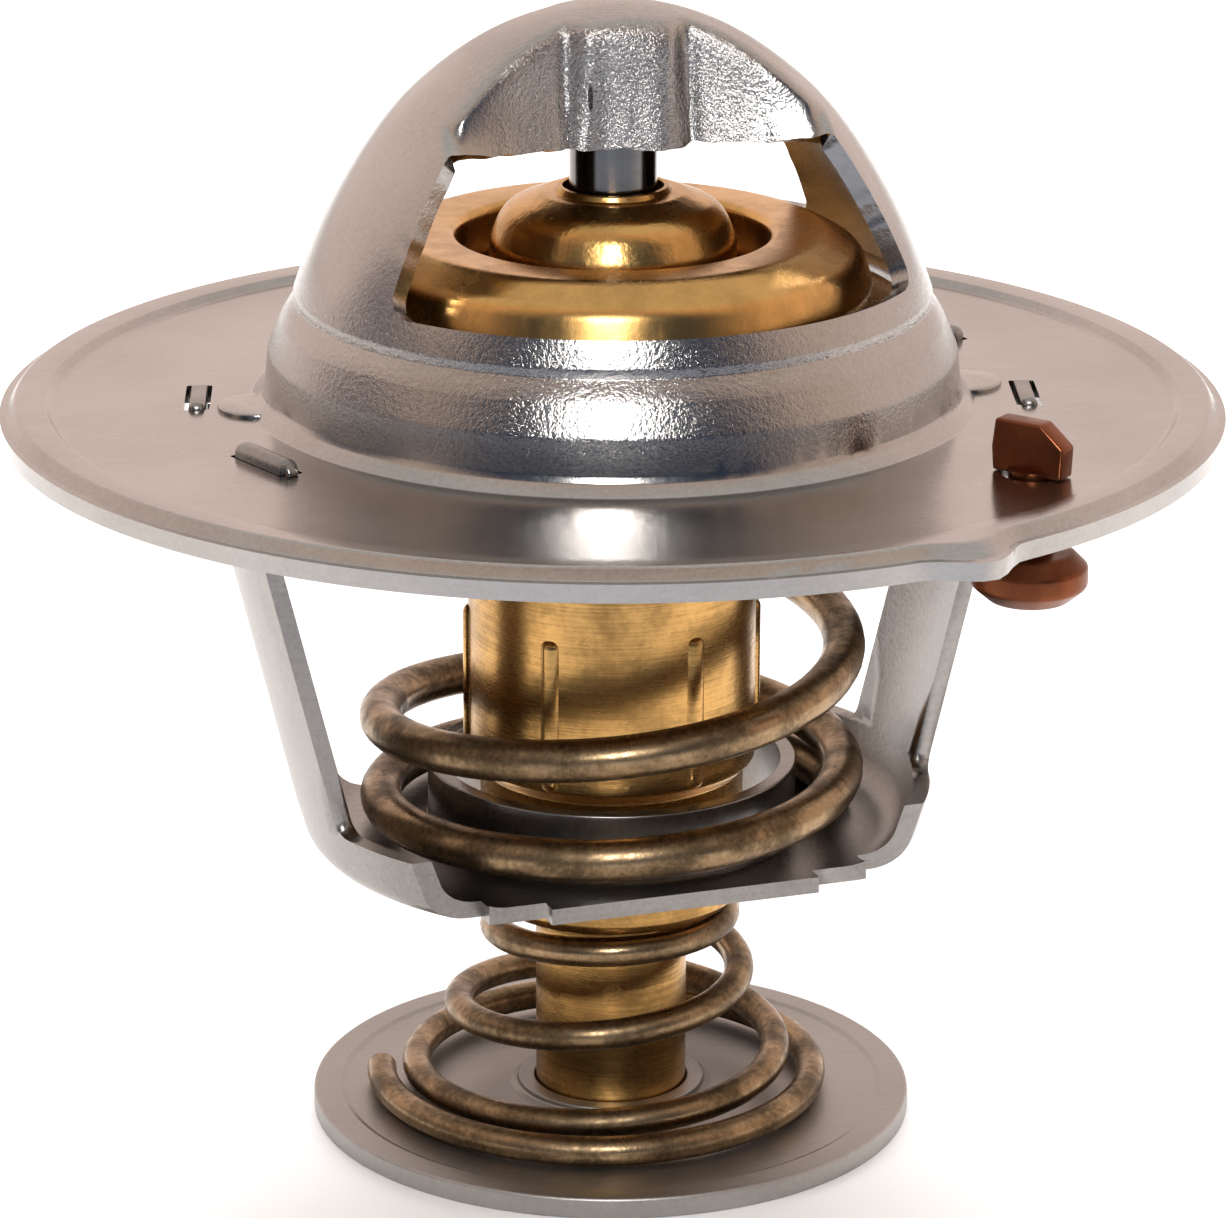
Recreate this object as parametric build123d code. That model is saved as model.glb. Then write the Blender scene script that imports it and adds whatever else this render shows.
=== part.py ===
from build123d import *
import math
import os

os.makedirs("parts", exist_ok=True)

# Engine thermostat with a bypass valve. Millimetres, Z up.
# The origin is the middle of the underside of the bypass disc.
# The two legs of the bridge stand on the X axis. Angles are degrees from +X.

# Levels
flange_level = 41.7
plate_drop = 24.75
plate_level = flange_level - plate_drop

# Flange and neck, pressed with the bridge from one sheet
sheet = 1.0
flange_radius = 33.5
rim_width = 2.9
rim_crease_radius = flange_radius - rim_width
rim_lift = 0.4
rim_step_width = 0.35
rim_roll_width = 0.85
rim_crest_radius = flange_radius - rim_roll_width
rim_edge_drop = 0.25
rim_lip = 0.4
neck_foot_radius = 19.7
neck_wall_radius = 19.05
neck_wall_foot = 0.9
neck_wall_top_radius = 18.85
neck_wall_top = 2.9
neck_break_radius = 18.15
neck_break = 4.6
neck_crease_radius = 17.6
neck_crease = 5.6
neck_throat_radius = 17.4
neck_throat = 6.2
neck_overlap_radius = 17.2
neck_overlap = 6.7
crease_round = 0.15

# Locating nose on the rim
nose_angle = -71.0
nose_reach = 1.75
nose_round = 2.1

# Bridge dome, outside, heights above the flange
dome_waist_radius = 14.95
dome_waist = 11.6
dome_shoulder_radius = 10.6
dome_shoulder = 17.4
dome_brow_radius = 5.6
dome_brow = 20.75
dome_crown = 21.95
bridge_sheet = 1.05

# Windows each side of the bridge
window_sill = 7.65
window_corner = 1.3
leg_half_angle = 31.5
leg_top_reach = 10.4
leg_cut_reach = 26.0

# Turned down crown walls with the pocket that holds the piston
pocket_front = 4.35
pocket_flank_reach = 3.5
pocket_flank_depth = 3.05
panel_reach = 6.8
panel_depth = 4.6
wall_end_level = 15.5
wall_middle_level = 14.75
wall_reach = 11.0

# Pads and slots in the flange
pad_radius = 2.3
pad_position = 19.4
pad_height = 0.25
pad_angle = 174.0
slot_clearance = 0.2
hole_clearance = 0.35

# Stirrup frame, turned about the axis against the bridge
frame_angle = 5.3
frame_sheet = 0.9
plate_half_width = 12.4
plate_half_length = 7.7
step_half_width = 11.3
step_half_length = 10.9
end_half_width = 9.9
collar_radius = 9.85
collar_height = 3.9
dish_radius = 16.15
dish_wall_radius = 16.9
dish_wall_height = 2.6
frame_bend = 2.2
collar_bend = 0.7
shoulder_round = 0.9
frame_leg_foot = 4.35
frame_leg_top = 4.0
leg_bend = 1.4
leg_head_radius = 22.7
leg_head_height = 3.0
leg_head_half_angle = 23.5
leg_bend_height = 4.6
leg_knee_reach = 21.15
prong_angle = 17.4
prong_length = 4.6
prong_proud = 0.8
prong_flush = 0.12

# Capsule
cup_radius = 8.0
cup_wall = 0.8
cup_step_level = -20.6
cup_step = 0.65
cup_low_radius = cup_radius - cup_step
cup_foot_level = -29.1
cup_foot_chamfer = 0.6
cup_floor = 1.4
cup_bead_reach = 0.45
cup_bead_radius = cup_radius + cup_bead_reach
cup_bead_top = 5.3
cup_bead_height = 0.9
cup_lip_width = 1.1
cup_lip_radius = cup_radius - cup_lip_width
cup_lip_under = 6.2
cup_lip_top = 6.9
rib_angle = -129.0
rib_count = 6
rib_width = 1.1
rib_height = 0.3
rib_top = -11.8
stem_radius = 4.25
stem_end_level = -41.0
stem_spigot_radius = 3.0
stem_end_chamfer = 0.4

# Guide head
head_play = 0.15
head_radius = cup_lip_radius - head_play
head_fit = 0.05
head_flange_radius = cup_radius - cup_wall - head_fit
head_foot = 2.0
head_dome_spring = 8.7
head_dome_fall = 1.0
head_dome_mid_radius = head_radius - head_dome_fall
head_dome_mid = 10.75
head_dome_end_radius = 3.5
head_dome_end = 11.65
head_lip_radius = 3.0
head_lip_top = 11.9
head_recess_radius = 2.75
head_recess_depth = 0.9
piston_play = 0.06

# Piston, boot, washer, wax
piston_radius = 2.4
piston_foot_level = -18.0
piston_tip_length = 2.2
piston_tip_radius = 1.3
boot_radius = 4.6
boot_flange_height = 1.2
boot_floor = 1.3
washer_height = 0.9

# Valve dish
valve_sheet = 0.9
valve_web_level = 3.9
valve_bead_gap = 0.1
valve_inner_radius = cup_bead_radius + valve_bead_gap + valve_sheet
valve_crest_level = 9.35
valve_crest_width = 1.85
valve_crest_radius = valve_inner_radius + valve_crest_width
valve_channel = 4.65
valve_outer_radius = valve_inner_radius + valve_channel
valve_outer_level = 6.6
valve_lip = 0.75
valve_play = 0.1
valve_rim_radius = neck_throat_radius - sheet - valve_play
valve_rim_level = 5.15
seam_gap = 0.02

# Main spring
main_wire = 2.35
main_start_angle = 1.0
main_free_pitch = 9.6
main_start_ramp = 2.0
main_end_ramp = 1.0
spring_gap = 0.08
main_low_radius = 12.92
main_side_gap = 0.675
main_high_radius = valve_inner_radius + main_side_gap + main_wire / 2
main_taper_start = 1.5
main_taper_end = 3.7

# Bypass valve
disc_radius = 16.9
disc_thickness = 1.1
disc_lip_radius = 15.3
disc_lip_height = 0.12
disc_collar_height = 1.6
disc_collar_wall = 0.95
disc_play = 0.08
disc_recess_radius = 5.9
disc_recess_depth = 1.05
clip_radius = 4.8
clip_wire = 0.3
bypass_wire = 1.65
bypass_start_angle = 166.0
bypass_low_radius = 12.6
bypass_high_radius = 6.45
bypass_free_pitch = 4.7
bypass_flat_turns = 0.8
bypass_ramp_turns = 0.8
bypass_free_turns = 1.4
bypass_end_ramp = 0.4
bypass_end_turns = 0.25
bypass_taper_turns = 3.05
bypass_lean = 0.45

# Vent pin that hangs in the flange
pin_inset = 4.1
pin_position = rim_crease_radius - pin_inset
pin_angle = -48.0
pin_shank_radius = 1.25
pin_tab_width = 4.3
pin_tab_thickness = 1.3
pin_tab_height = 2.85
pin_tab_low_height = 1.7
pin_tab_slope_start = 0.35
pin_tab_draft = 0.2
pin_head_radius = 3.1
pin_head_top = -4.2
pin_head_rim_top = -5.0
pin_head_rim_foot = -6.05
pin_head_foot = -6.9
pin_head_top_radius = 2.4
pin_head_foot_radius = 2.1


def polar(radius, angle, level=0.0):
    turn = math.radians(angle)
    return Vector(radius * math.cos(turn), radius * math.sin(turn), level)


def upright(edges):
    return Plane.XZ * make_face(Curve() + edges)


def turned(points):
    return revolve(Plane.XZ * make_face(Polyline(*points, close=True)), Axis.Z)


def shifted(points, distance):
    """Points moved square to their line by a distance, mitred at the corners."""
    moved = []
    for index, point in enumerate(points):
        before = points[max(index - 1, 0)]
        after = points[min(index + 1, len(points) - 1)]
        normals = []
        for start, end in ((before, point), (point, after)):
            run = math.hypot(end[0] - start[0], end[1] - start[1])
            if run > 0:
                normals.append(((end[1] - start[1]) / run, (start[0] - end[0]) / run))
        across = sum(normal[0] for normal in normals) / len(normals)
        up = sum(normal[1] for normal in normals) / len(normals)
        square = across * across + up * up
        moved.append((point[0] + distance * across / square, point[1] + distance * up / square))
    return moved


def rounded_line(points, radii):
    """Line through the points, its inner corners rounded as far as their sides allow."""
    edges = []
    start = Vector(*points[0])
    for before, corner, after, radius in zip(points, points[1:], points[2:], radii):
        into = Vector(*corner) - Vector(*before)
        out = Vector(*after) - Vector(*corner)
        turn = math.radians(into.get_angle(out))
        reach = min(radius * math.tan(turn / 2), 0.45 * into.length, 0.45 * out.length)
        arc_start = Vector(*corner) - into.normalized() * reach
        arc_end = Vector(*corner) + out.normalized() * reach
        edges.append(Line(start, arc_start))
        edges.append(TangentArc(arc_start, arc_end, tangent=into))
        start = arc_end
    return edges + [Line(start, points[-1])]


def sheet_ring(points, thickness, upper_radii, lower_radii):
    """Turned sheet whose upper side follows the points."""
    lower = shifted(points, thickness)
    ends = [Line(points[0], lower[0]), Line(points[-1], lower[-1])]
    sides = rounded_line(points, upper_radii) + rounded_line(lower, lower_radii)
    return revolve(upright(sides + ends), Axis.Z)


def smooth(value):
    value = min(max(value, 0.0), 1.0)
    return value * value * (3 - 2 * value)


def coil(wire, start_angle, turns, pitch_at, radius_at, start_level, lean=0.0):
    """Right-handed spring whose pitch and radius follow the turn number."""
    steps_per_turn = 16
    steps = round(turns * steps_per_turn)
    level = start_level
    points = []
    for index in range(steps + 1):
        turn = turns * index / steps
        centre = polar(lean * (1 - turn / turns), start_angle)
        points.append(centre + polar(radius_at(turn), start_angle + 360 * turn, level))
        level += pitch_at(turn + turns / steps / 2) * turns / steps
    path = Spline(*points)
    section = Plane(origin=path @ 0, z_dir=path % 0) * Circle(wire / 2)
    return sweep(section, path, is_frenet=True)


# Flange, neck and bridge
def above(level):
    return flange_level + level


neck_path = [
    (flange_radius, above(-rim_edge_drop)),
    (flange_radius - rim_lip, above(-rim_edge_drop)),
    (rim_crest_radius, above(rim_lift)),
    (rim_crease_radius + rim_step_width, above(rim_lift)),
    (rim_crease_radius, above(0)),
    (neck_foot_radius, above(0)),
    (neck_wall_radius, above(neck_wall_foot)),
    (neck_wall_top_radius, above(neck_wall_top)),
    (neck_break_radius, above(neck_break)),
    (neck_crease_radius, above(neck_crease)),
    (neck_throat_radius, above(neck_throat)),
    (neck_overlap_radius, above(neck_overlap)),
]
neck_radii = [crease_round] * (len(neck_path) - 2)
flange = sheet_ring(neck_path, -sheet, neck_radii, neck_radii)

dome_points = [
    (neck_throat_radius, above(neck_throat)),
    (dome_waist_radius, above(dome_waist)),
    (dome_shoulder_radius, above(dome_shoulder)),
    (dome_brow_radius, above(dome_brow)),
    (0.0, above(dome_crown)),
]
dome_inner_points = shifted(dome_points, -bridge_sheet)
dome_inner_points[0] = (neck_throat_radius - sheet, above(neck_throat))
dome_inner_points[-1] = (0.0, above(dome_crown - bridge_sheet))


def dome_solid(points):
    curve = Spline(*points, tangents=[(-0.32, 0.95), (-1, 0)])
    foot = Line((0, points[0][1]), points[0])
    axis = Line((0, points[-1][1]), (0, points[0][1]))
    return revolve(upright([curve, foot, axis]), Axis.Z)


dome_outer = dome_solid(dome_points)
dome_inner = dome_solid(dome_inner_points)

leg_top_half = leg_top_reach * math.tan(math.radians(leg_half_angle))
leg_cut_half = leg_cut_reach * math.tan(math.radians(leg_half_angle))


def strip_face(inset):
    """Plan of the bridge strip, its sides moved in by an inset."""
    edges = []
    for side in (1, -1):
        for way in (1, -1):
            leg_corner = (way * leg_top_reach, side * (leg_top_half - inset))
            cut_corner = (way * leg_cut_reach, side * (leg_cut_half - inset))
            panel = (way * panel_reach, side * (panel_depth - inset))
            flank = (way * pocket_flank_reach, side * (pocket_flank_depth - inset))
            edges.append(Line(cut_corner, leg_corner))
            edges.append(Spline(leg_corner, panel, flank))
        edges.append(
            ThreePointArc(
                (-pocket_flank_reach, side * (pocket_flank_depth - inset)),
                (0, side * (pocket_front - inset)),
                (pocket_flank_reach, side * (pocket_flank_depth - inset)),
            )
        )
    for way in (1, -1):
        reach = way * leg_cut_reach
        edges.append(Line((reach, leg_cut_half - inset), (reach, inset - leg_cut_half)))
    return make_face(Curve() + edges)


strip = strip_face(0)
strip_inside = strip_face(bridge_sheet)

window_height = dome_crown + bridge_sheet - window_sill
strip_prism = extrude(Pos(0, 0, above(window_sill)) * strip, window_height)
window_block = Pos(0, 0, above(window_sill)) * extrude(Circle(neck_wall_radius), window_height)
windows = window_block - strip_prism
bridge = dome_outer - dome_inner - windows
sill_edges = bridge.edges().filter_by(lambda edge: abs(edge.center().Z - above(window_sill)) < 0.01)
bridge = fillet([edge for edge in sill_edges if edge.length < 2], window_corner)

wall_prism = extrude(Pos(0, 0, above(window_sill)) * strip, window_height)
wall_prism -= extrude(Pos(0, 0, above(window_sill)) * strip_inside, window_height)
wall_edges = [
    ThreePointArc(
        (-wall_reach, above(wall_end_level)),
        (0, above(wall_middle_level)),
        (wall_reach, above(wall_end_level)),
    ),
    Line((wall_reach, above(wall_end_level)), (wall_reach, above(dome_crown + 2))),
    Line((wall_reach, above(dome_crown + 2)), (-wall_reach, above(dome_crown + 2))),
    Line((-wall_reach, above(dome_crown + 2)), (-wall_reach, above(wall_end_level))),
]
wall_band = extrude(upright(wall_edges), 2 * neck_wall_radius, both=True)
crown_walls = wall_prism & wall_band & dome_outer

nose_foot = above(-sheet - rim_edge_drop / 2)
nose_place = Pos(polar(flange_radius + nose_reach - nose_round, nose_angle, nose_foot))
nose = nose_place * extrude(Circle(nose_round), above(-0.05) - nose_foot)
neck_inside = Pos(0, 0, above(-sheet)) * extrude(Circle(neck_wall_radius - sheet / 2), 3 * sheet)
flange_bridge = flange + bridge + crown_walls + nose
for turn in (0, 180):
    pad_place = Pos(polar(pad_position, pad_angle + turn, above(-sheet / 2)))
    pad = pad_place * extrude(Circle(pad_radius), sheet / 2 + pad_height)
    flange_bridge += pad - neck_inside

slot_size = (frame_sheet + 2 * slot_clearance, prong_length + 2 * slot_clearance)
prong_turns = [half_turn + lean for half_turn in (0, 180) for lean in (prong_angle, -prong_angle)]
for turn in prong_turns:
    angle = frame_angle + turn
    slot = Pos(polar(leg_head_radius, angle, above(-2 * sheet))) * Rot(0, 0, angle)
    flange_bridge -= slot * extrude(Rectangle(*slot_size), 4 * sheet)
pin_place = Pos(polar(pin_position, pin_angle, flange_level)) * Rot(0, 0, pin_angle)
pin_hole = Pos(0, 0, -2 * sheet) * extrude(Circle(pin_shank_radius + hole_clearance), 4 * sheet)
flange_bridge -= pin_place * pin_hole

# Stirrup frame
shoulder_level = plate_level + dish_wall_height
leg_head_inside = leg_head_radius - frame_sheet / 2
leg_head_reach = 2 * leg_head_radius
frame_path = [
    (collar_radius + frame_sheet / 2, plate_level + collar_height),
    (collar_radius + frame_sheet / 2, plate_level),
    (dish_radius, plate_level),
    (dish_wall_radius, shoulder_level),
    (leg_knee_reach, above(-leg_bend_height)),
    (leg_head_inside, above(-leg_head_height)),
    (leg_head_inside, above(-sheet - seam_gap)),
]
sharp_bends = [collar_bend, frame_bend, leg_bend, leg_bend, leg_bend]
wide_bends = [bend + frame_sheet for bend in sharp_bends]
frame_ring = sheet_ring(frame_path, frame_sheet, sharp_bends, wide_bends)

# Plan of the frame: stepped plate, tapered legs and curved heads
plate_clip = Rectangle(2 * plate_half_length, 2 * plate_half_width)
plate_clip += Rectangle(2 * step_half_length, 2 * step_half_width)
plate_clip += Rectangle(2 * leg_head_radius, 2 * end_half_width)
legs_clip = make_face(
    Polyline(
        (0, frame_leg_foot),
        (dish_wall_radius, frame_leg_foot),
        (leg_head_reach, frame_leg_top),
        (leg_head_reach, -frame_leg_top),
        (dish_wall_radius, -frame_leg_foot),
        (0, -frame_leg_foot),
        close=True,
    )
)
head_clip = make_face(
    Polyline(
        (0, 0),
        tuple(polar(leg_head_reach, leg_head_half_angle))[:2],
        tuple(polar(leg_head_reach, -leg_head_half_angle))[:2],
        close=True,
    )
)
plate_foot = plate_level - 2 * frame_sheet
frame_clip = Pos(0, 0, plate_foot) * extrude(plate_clip, shoulder_level - plate_foot)
for way in (0, 180):
    leg_block = Pos(0, 0, plate_level) * extrude(legs_clip, plate_drop)
    head_block = Pos(0, 0, above(-leg_head_height)) * extrude(head_clip, leg_head_height)
    frame_clip += Rot(0, 0, way) * (leg_block + head_block)
leg_corners = frame_clip.edges().filter_by(
    lambda edge: abs(edge.center().Z - shoulder_level) < 0.01
    and frame_leg_top < abs(edge.center().Y) < frame_leg_foot + frame_sheet / 2
)
frame_clip = fillet(leg_corners, shoulder_round)
spring_frame = frame_ring & frame_clip
prongs = Part()
for angle, proud in ((prong_angle, prong_proud), (-prong_angle, prong_flush)):
    prong_height = sheet + 1 + proud
    place = Pos(polar(leg_head_radius, angle, above(-sheet - 1))) * Rot(0, 0, angle)
    prongs += place * extrude(Rectangle(frame_sheet, prong_length), prong_height)
spring_frame += prongs + Rot(0, 0, 180) * prongs
spring_frame = Rot(0, 0, frame_angle) * spring_frame

# Capsule cup with its ribs
cup_outline = [
    (cup_low_radius - cup_foot_chamfer, above(cup_foot_level)),
    (cup_low_radius, above(cup_foot_level) + cup_foot_chamfer),
    (cup_low_radius, above(cup_step_level) - cup_step),
    (cup_radius, above(cup_step_level)),
    (cup_radius, above(cup_bead_top - cup_bead_height)),
    (cup_bead_radius, above(cup_bead_top - cup_bead_height)),
    (cup_bead_radius, above(cup_bead_top)),
    (cup_radius, above(cup_bead_top)),
    (cup_radius, above(cup_lip_top)),
    (cup_lip_radius, above(cup_lip_top)),
    (cup_lip_radius, above(cup_lip_under)),
    (cup_radius - cup_wall, above(cup_lip_under)),
    (cup_radius - cup_wall, above(cup_step_level)),
    (cup_low_radius - cup_wall, above(cup_step_level) - cup_step),
    (cup_low_radius - cup_wall, above(cup_foot_level) + cup_floor),
    (stem_spigot_radius, above(cup_foot_level) + cup_floor),
    (stem_spigot_radius, above(cup_foot_level)),
]
capsule_cup = turned(cup_outline)
rib_length = rib_top - cup_step_level
rib_core = Pos(0, 0, above(cup_step_level))
rib_core *= extrude(Circle(cup_radius - cup_wall / 2), rib_length + 2)
for index in range(rib_count):
    angle = rib_angle + index * 360 / rib_count
    rib_side = cup_radius - rib_width / 2 + rib_height
    place = Pos(polar(rib_side, angle, above(cup_step_level)))
    rib = place * extrude(Circle(rib_width / 2), rib_length)
    rib += place * Pos(0, 0, rib_length) * Sphere(rib_width / 2)
    capsule_cup += rib - rib_core

# Stem that carries the bypass disc, pressed into the cup
stem_outline = [
    (0, above(stem_end_level)),
    (stem_radius - stem_end_chamfer, above(stem_end_level)),
    (stem_radius, above(stem_end_level) + stem_end_chamfer),
    (stem_radius, above(cup_foot_level)),
    (stem_spigot_radius, above(cup_foot_level)),
    (stem_spigot_radius, above(cup_foot_level) + cup_floor),
    (0, above(cup_foot_level) + cup_floor),
]
bypass_stem = turned(stem_outline)
clip_level = clip_wire
clip_cut = Torus(clip_radius - clip_wire, clip_wire)
bypass_stem -= Pos(0, 0, clip_level) * clip_cut

# Guide head
bore = piston_radius + piston_play
head_recess_foot = above(head_lip_top - head_recess_depth)
head_side = [
    (head_radius, above(head_dome_spring)),
    (head_radius, above(cup_lip_under)),
    (head_flange_radius, above(cup_lip_under)),
    (head_flange_radius, above(head_foot)),
    (bore, above(head_foot)),
    (bore, head_recess_foot),
    (head_recess_radius, head_recess_foot),
    (head_recess_radius, above(head_lip_top)),
    (head_lip_radius, above(head_lip_top)),
    (head_dome_end_radius, above(head_dome_end)),
]
head_dome = ThreePointArc(head_side[-1], (head_dome_mid_radius, above(head_dome_mid)), head_side[0])
head_edges = [Polyline(*head_side), head_dome]
guide_head = revolve(upright(head_edges), Axis.Z)

# Piston and the pieces inside the capsule
piston_top = above(dome_crown - bridge_sheet)
piston = turned(
    [
        (0, above(piston_foot_level)),
        (piston_tip_radius, above(piston_foot_level)),
        (piston_radius, above(piston_foot_level) + piston_tip_length),
        (piston_radius, piston_top - 0.5),
        (piston_radius - 0.4, piston_top - 0.1),
        (0, piston_top - 0.1),
    ]
)
washer_level = above(head_foot) - washer_height
washer_ring = Circle(head_flange_radius) - Circle(bore)
boot_washer = Pos(0, 0, washer_level) * extrude(washer_ring, washer_height)
boot_level = washer_level - boot_flange_height
boot_foot = above(piston_foot_level) - boot_floor
cavity_radius = cup_radius - cup_wall
rubber_boot = turned(
    [
        (bore, washer_level),
        (cavity_radius, washer_level),
        (cavity_radius, boot_level),
        (boot_radius, boot_level),
        (boot_radius - 0.4, boot_foot),
        (0, boot_foot),
        (0, above(piston_foot_level) - piston_play),
        (piston_tip_radius + piston_play, above(piston_foot_level) - piston_play),
        (bore, above(piston_foot_level) + piston_tip_length - piston_play),
    ]
)
cavity_low_radius = cup_low_radius - cup_wall
wax_charge = turned(
    [
        (boot_radius, boot_level),
        (cavity_radius, boot_level),
        (cavity_radius, above(cup_step_level)),
        (cavity_low_radius, above(cup_step_level) - cup_step),
        (cavity_low_radius, above(cup_foot_level) + cup_floor),
        (0, above(cup_foot_level) + cup_floor),
        (0, boot_foot),
        (boot_radius - 0.4, boot_foot),
    ]
)

# Valve dish, a channel ring that the main spring pushes up into the neck
web_top = above(valve_web_level) + valve_sheet / 2
web_under = web_top - valve_sheet
valve_hub = cup_radius + seam_gap
valve_bore = valve_inner_radius - valve_sheet
valve_shell = valve_outer_radius - valve_sheet
valve_spread = valve_outer_radius - valve_crest_radius
crest_top = above(valve_crest_level)
crest_under = crest_top - valve_sheet
rim_top = above(valve_rim_level)
rim_under = rim_top - valve_sheet
lip_start = (valve_bore, crest_top - valve_lip)
lip_end = (valve_bore + valve_lip, crest_top)
lip_middle = (valve_bore + 0.3 * valve_lip, crest_top - 0.3 * valve_lip)
seat_start = (valve_crest_radius, crest_top)
seat_middle = (valve_crest_radius + 0.72 * valve_spread, crest_top - valve_sheet)
seat_end = (valve_outer_radius, above(valve_outer_level))
back_start = (valve_shell, above(valve_outer_level))
back_middle = (valve_crest_radius + 0.46 * valve_spread, crest_top - 1.75 * valve_sheet)
back_end = (valve_crest_radius - 0.1, crest_under)
valve_edges = [
    Polyline((valve_hub, web_under), (valve_hub, web_top), (valve_bore, web_top), lip_start),
    ThreePointArc(lip_start, lip_middle, lip_end),
    Line(lip_end, seat_start),
    ThreePointArc(seat_start, seat_middle, seat_end),
    Polyline(
        seat_end,
        (valve_outer_radius, rim_top),
        (valve_rim_radius, rim_top),
        (valve_rim_radius, rim_under),
        (valve_shell, rim_under),
        back_start,
    ),
    ThreePointArc(back_start, back_middle, back_end),
    Polyline(
        back_end,
        (valve_inner_radius, crest_under),
        (valve_inner_radius, web_under),
        (valve_hub, web_under),
    ),
]
valve_dish = revolve(upright(valve_edges), Axis.Z)

# Main spring
main_foot = plate_level + main_wire / 2
main_head = crest_under - spring_gap - main_wire / 2
main_rise = main_head - main_foot
main_ramp_rise = main_free_pitch * (main_start_ramp + main_end_ramp) / 2
main_turns = main_start_ramp + main_end_ramp + (main_rise - main_ramp_rise) / main_free_pitch


def main_pitch(turn):
    rise = turn / main_start_ramp
    fall = max(main_turns - turn, 0.0) / main_end_ramp
    return main_free_pitch * min(rise, 1.0, fall)


def main_radius(turn):
    share = smooth((turn - main_taper_start) / (main_taper_end - main_taper_start))
    return main_low_radius + (main_high_radius - main_low_radius) * share


main_spring = coil(main_wire, main_start_angle, main_turns, main_pitch, main_radius, main_foot)

# Bypass disc, clip and spring
disc_bore = stem_radius + disc_play
disc_collar_side = disc_bore + disc_collar_wall
disc_section = [
    (disc_bore, disc_recess_depth),
    (disc_recess_radius, 0.0),
    (disc_radius, 0.0),
    (disc_radius, disc_thickness - 0.15),
    (disc_radius - 0.2, disc_thickness + disc_lip_height),
    (disc_lip_radius, disc_thickness + disc_lip_height),
    (disc_lip_radius - 0.2, disc_thickness),
    (disc_collar_side + 0.3, disc_thickness),
    (disc_collar_side, disc_thickness + 0.3),
    (disc_collar_side, disc_collar_height),
    (disc_bore, disc_collar_height),
]
bypass_disc = turned(disc_section)
stem_clip = Pos(0, 0, clip_level) * Torus(clip_radius - clip_wire, clip_wire)

bypass_rise_turns = bypass_ramp_turns + bypass_free_turns + bypass_end_ramp
bypass_turns = bypass_flat_turns + bypass_rise_turns + bypass_end_turns


def bypass_pitch(turn):
    rise = (turn - bypass_flat_turns) / bypass_ramp_turns
    fall = (bypass_turns - bypass_end_turns - turn) / bypass_end_ramp
    flat = 0.07 if turn < bypass_flat_turns + bypass_ramp_turns else 0.0
    return bypass_free_pitch * max(min(rise, 1.0, fall), flat)


def bypass_radius(turn):
    share = min(turn / bypass_taper_turns, 1.0)
    taper = bypass_high_radius - bypass_low_radius
    return bypass_low_radius + taper * (0.7 * share + 0.3 * smooth(share))


bypass_spring = coil(
    bypass_wire,
    bypass_start_angle,
    bypass_turns,
    bypass_pitch,
    bypass_radius,
    disc_thickness + bypass_wire / 2,
    bypass_lean,
)

# Vent pin
tab_half = pin_tab_width / 2
tab_edges = Polyline(
    (-tab_half + 0.1, 0),
    (-tab_half, pin_tab_height * 0.45),
    (-tab_half + pin_tab_draft, pin_tab_height),
    (tab_half * pin_tab_slope_start, pin_tab_height),
    (tab_half, pin_tab_low_height),
    (tab_half - 0.1, 0),
    close=True,
)
tab = extrude(Plane.XZ * make_face(tab_edges), pin_tab_thickness / 2, both=True)
head = turned(
    [
        (0, pin_head_foot),
        (pin_head_foot_radius, pin_head_foot),
        (pin_head_radius - 0.35, pin_head_rim_foot - 0.4),
        (pin_head_radius, pin_head_rim_foot),
        (pin_head_radius, pin_head_rim_top),
        (pin_head_top_radius, pin_head_top),
        (pin_shank_radius, pin_head_top),
        (pin_shank_radius, 0.2),
        (0, 0.2),
    ]
)
jiggle_pin = pin_place * (tab + head)

# Parts
parts = {
    "flange_bridge": flange_bridge,
    "spring_frame": spring_frame,
    "piston": piston,
    "guide_head": guide_head,
    "capsule_cup": capsule_cup,
    "bypass_stem": bypass_stem,
    "boot_washer": boot_washer,
    "rubber_boot": rubber_boot,
    "wax_charge": wax_charge,
    "valve_dish": valve_dish,
    "main_spring": main_spring,
    "bypass_spring": bypass_spring,
    "bypass_disc": bypass_disc,
    "stem_clip": stem_clip,
    "jiggle_pin": jiggle_pin,
}
for name, shape in parts.items():
    export_step(shape, f"parts/{name}.step")
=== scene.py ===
import math

import bmesh
import bpy
import numpy as np
from mathutils import Matrix, Vector


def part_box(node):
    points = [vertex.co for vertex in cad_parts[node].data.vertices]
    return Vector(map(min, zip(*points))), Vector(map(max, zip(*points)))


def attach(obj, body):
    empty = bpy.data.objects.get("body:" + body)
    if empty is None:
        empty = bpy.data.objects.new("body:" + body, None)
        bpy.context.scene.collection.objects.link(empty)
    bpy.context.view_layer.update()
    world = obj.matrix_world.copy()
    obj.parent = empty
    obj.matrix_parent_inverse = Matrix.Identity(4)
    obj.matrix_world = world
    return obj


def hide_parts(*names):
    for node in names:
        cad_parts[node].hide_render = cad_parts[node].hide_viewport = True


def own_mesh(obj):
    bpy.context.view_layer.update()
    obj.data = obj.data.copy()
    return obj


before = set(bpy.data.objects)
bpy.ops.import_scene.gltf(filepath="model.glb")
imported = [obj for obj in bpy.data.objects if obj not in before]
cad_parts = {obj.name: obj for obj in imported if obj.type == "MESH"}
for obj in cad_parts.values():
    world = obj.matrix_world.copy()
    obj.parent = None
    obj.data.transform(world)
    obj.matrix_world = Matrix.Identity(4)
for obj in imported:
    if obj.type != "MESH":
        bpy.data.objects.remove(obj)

bl_info = {
    "name": "Engine thermostat",
    "version": (1, 0, 0),
    "blender": (4, 5, 0),
    "location": "View3D > Sidebar > Thermostat",
    "description": "Builds the pressed, turned and wound pieces of an engine thermostat",
    "category": "Object",
}

MM = 0.001
# Distances in metres within which corners count as one, or faces as having no area
CAD_MERGED = 1e-7
MERGED = 1e-6
SLIVER = 2e-6

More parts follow.
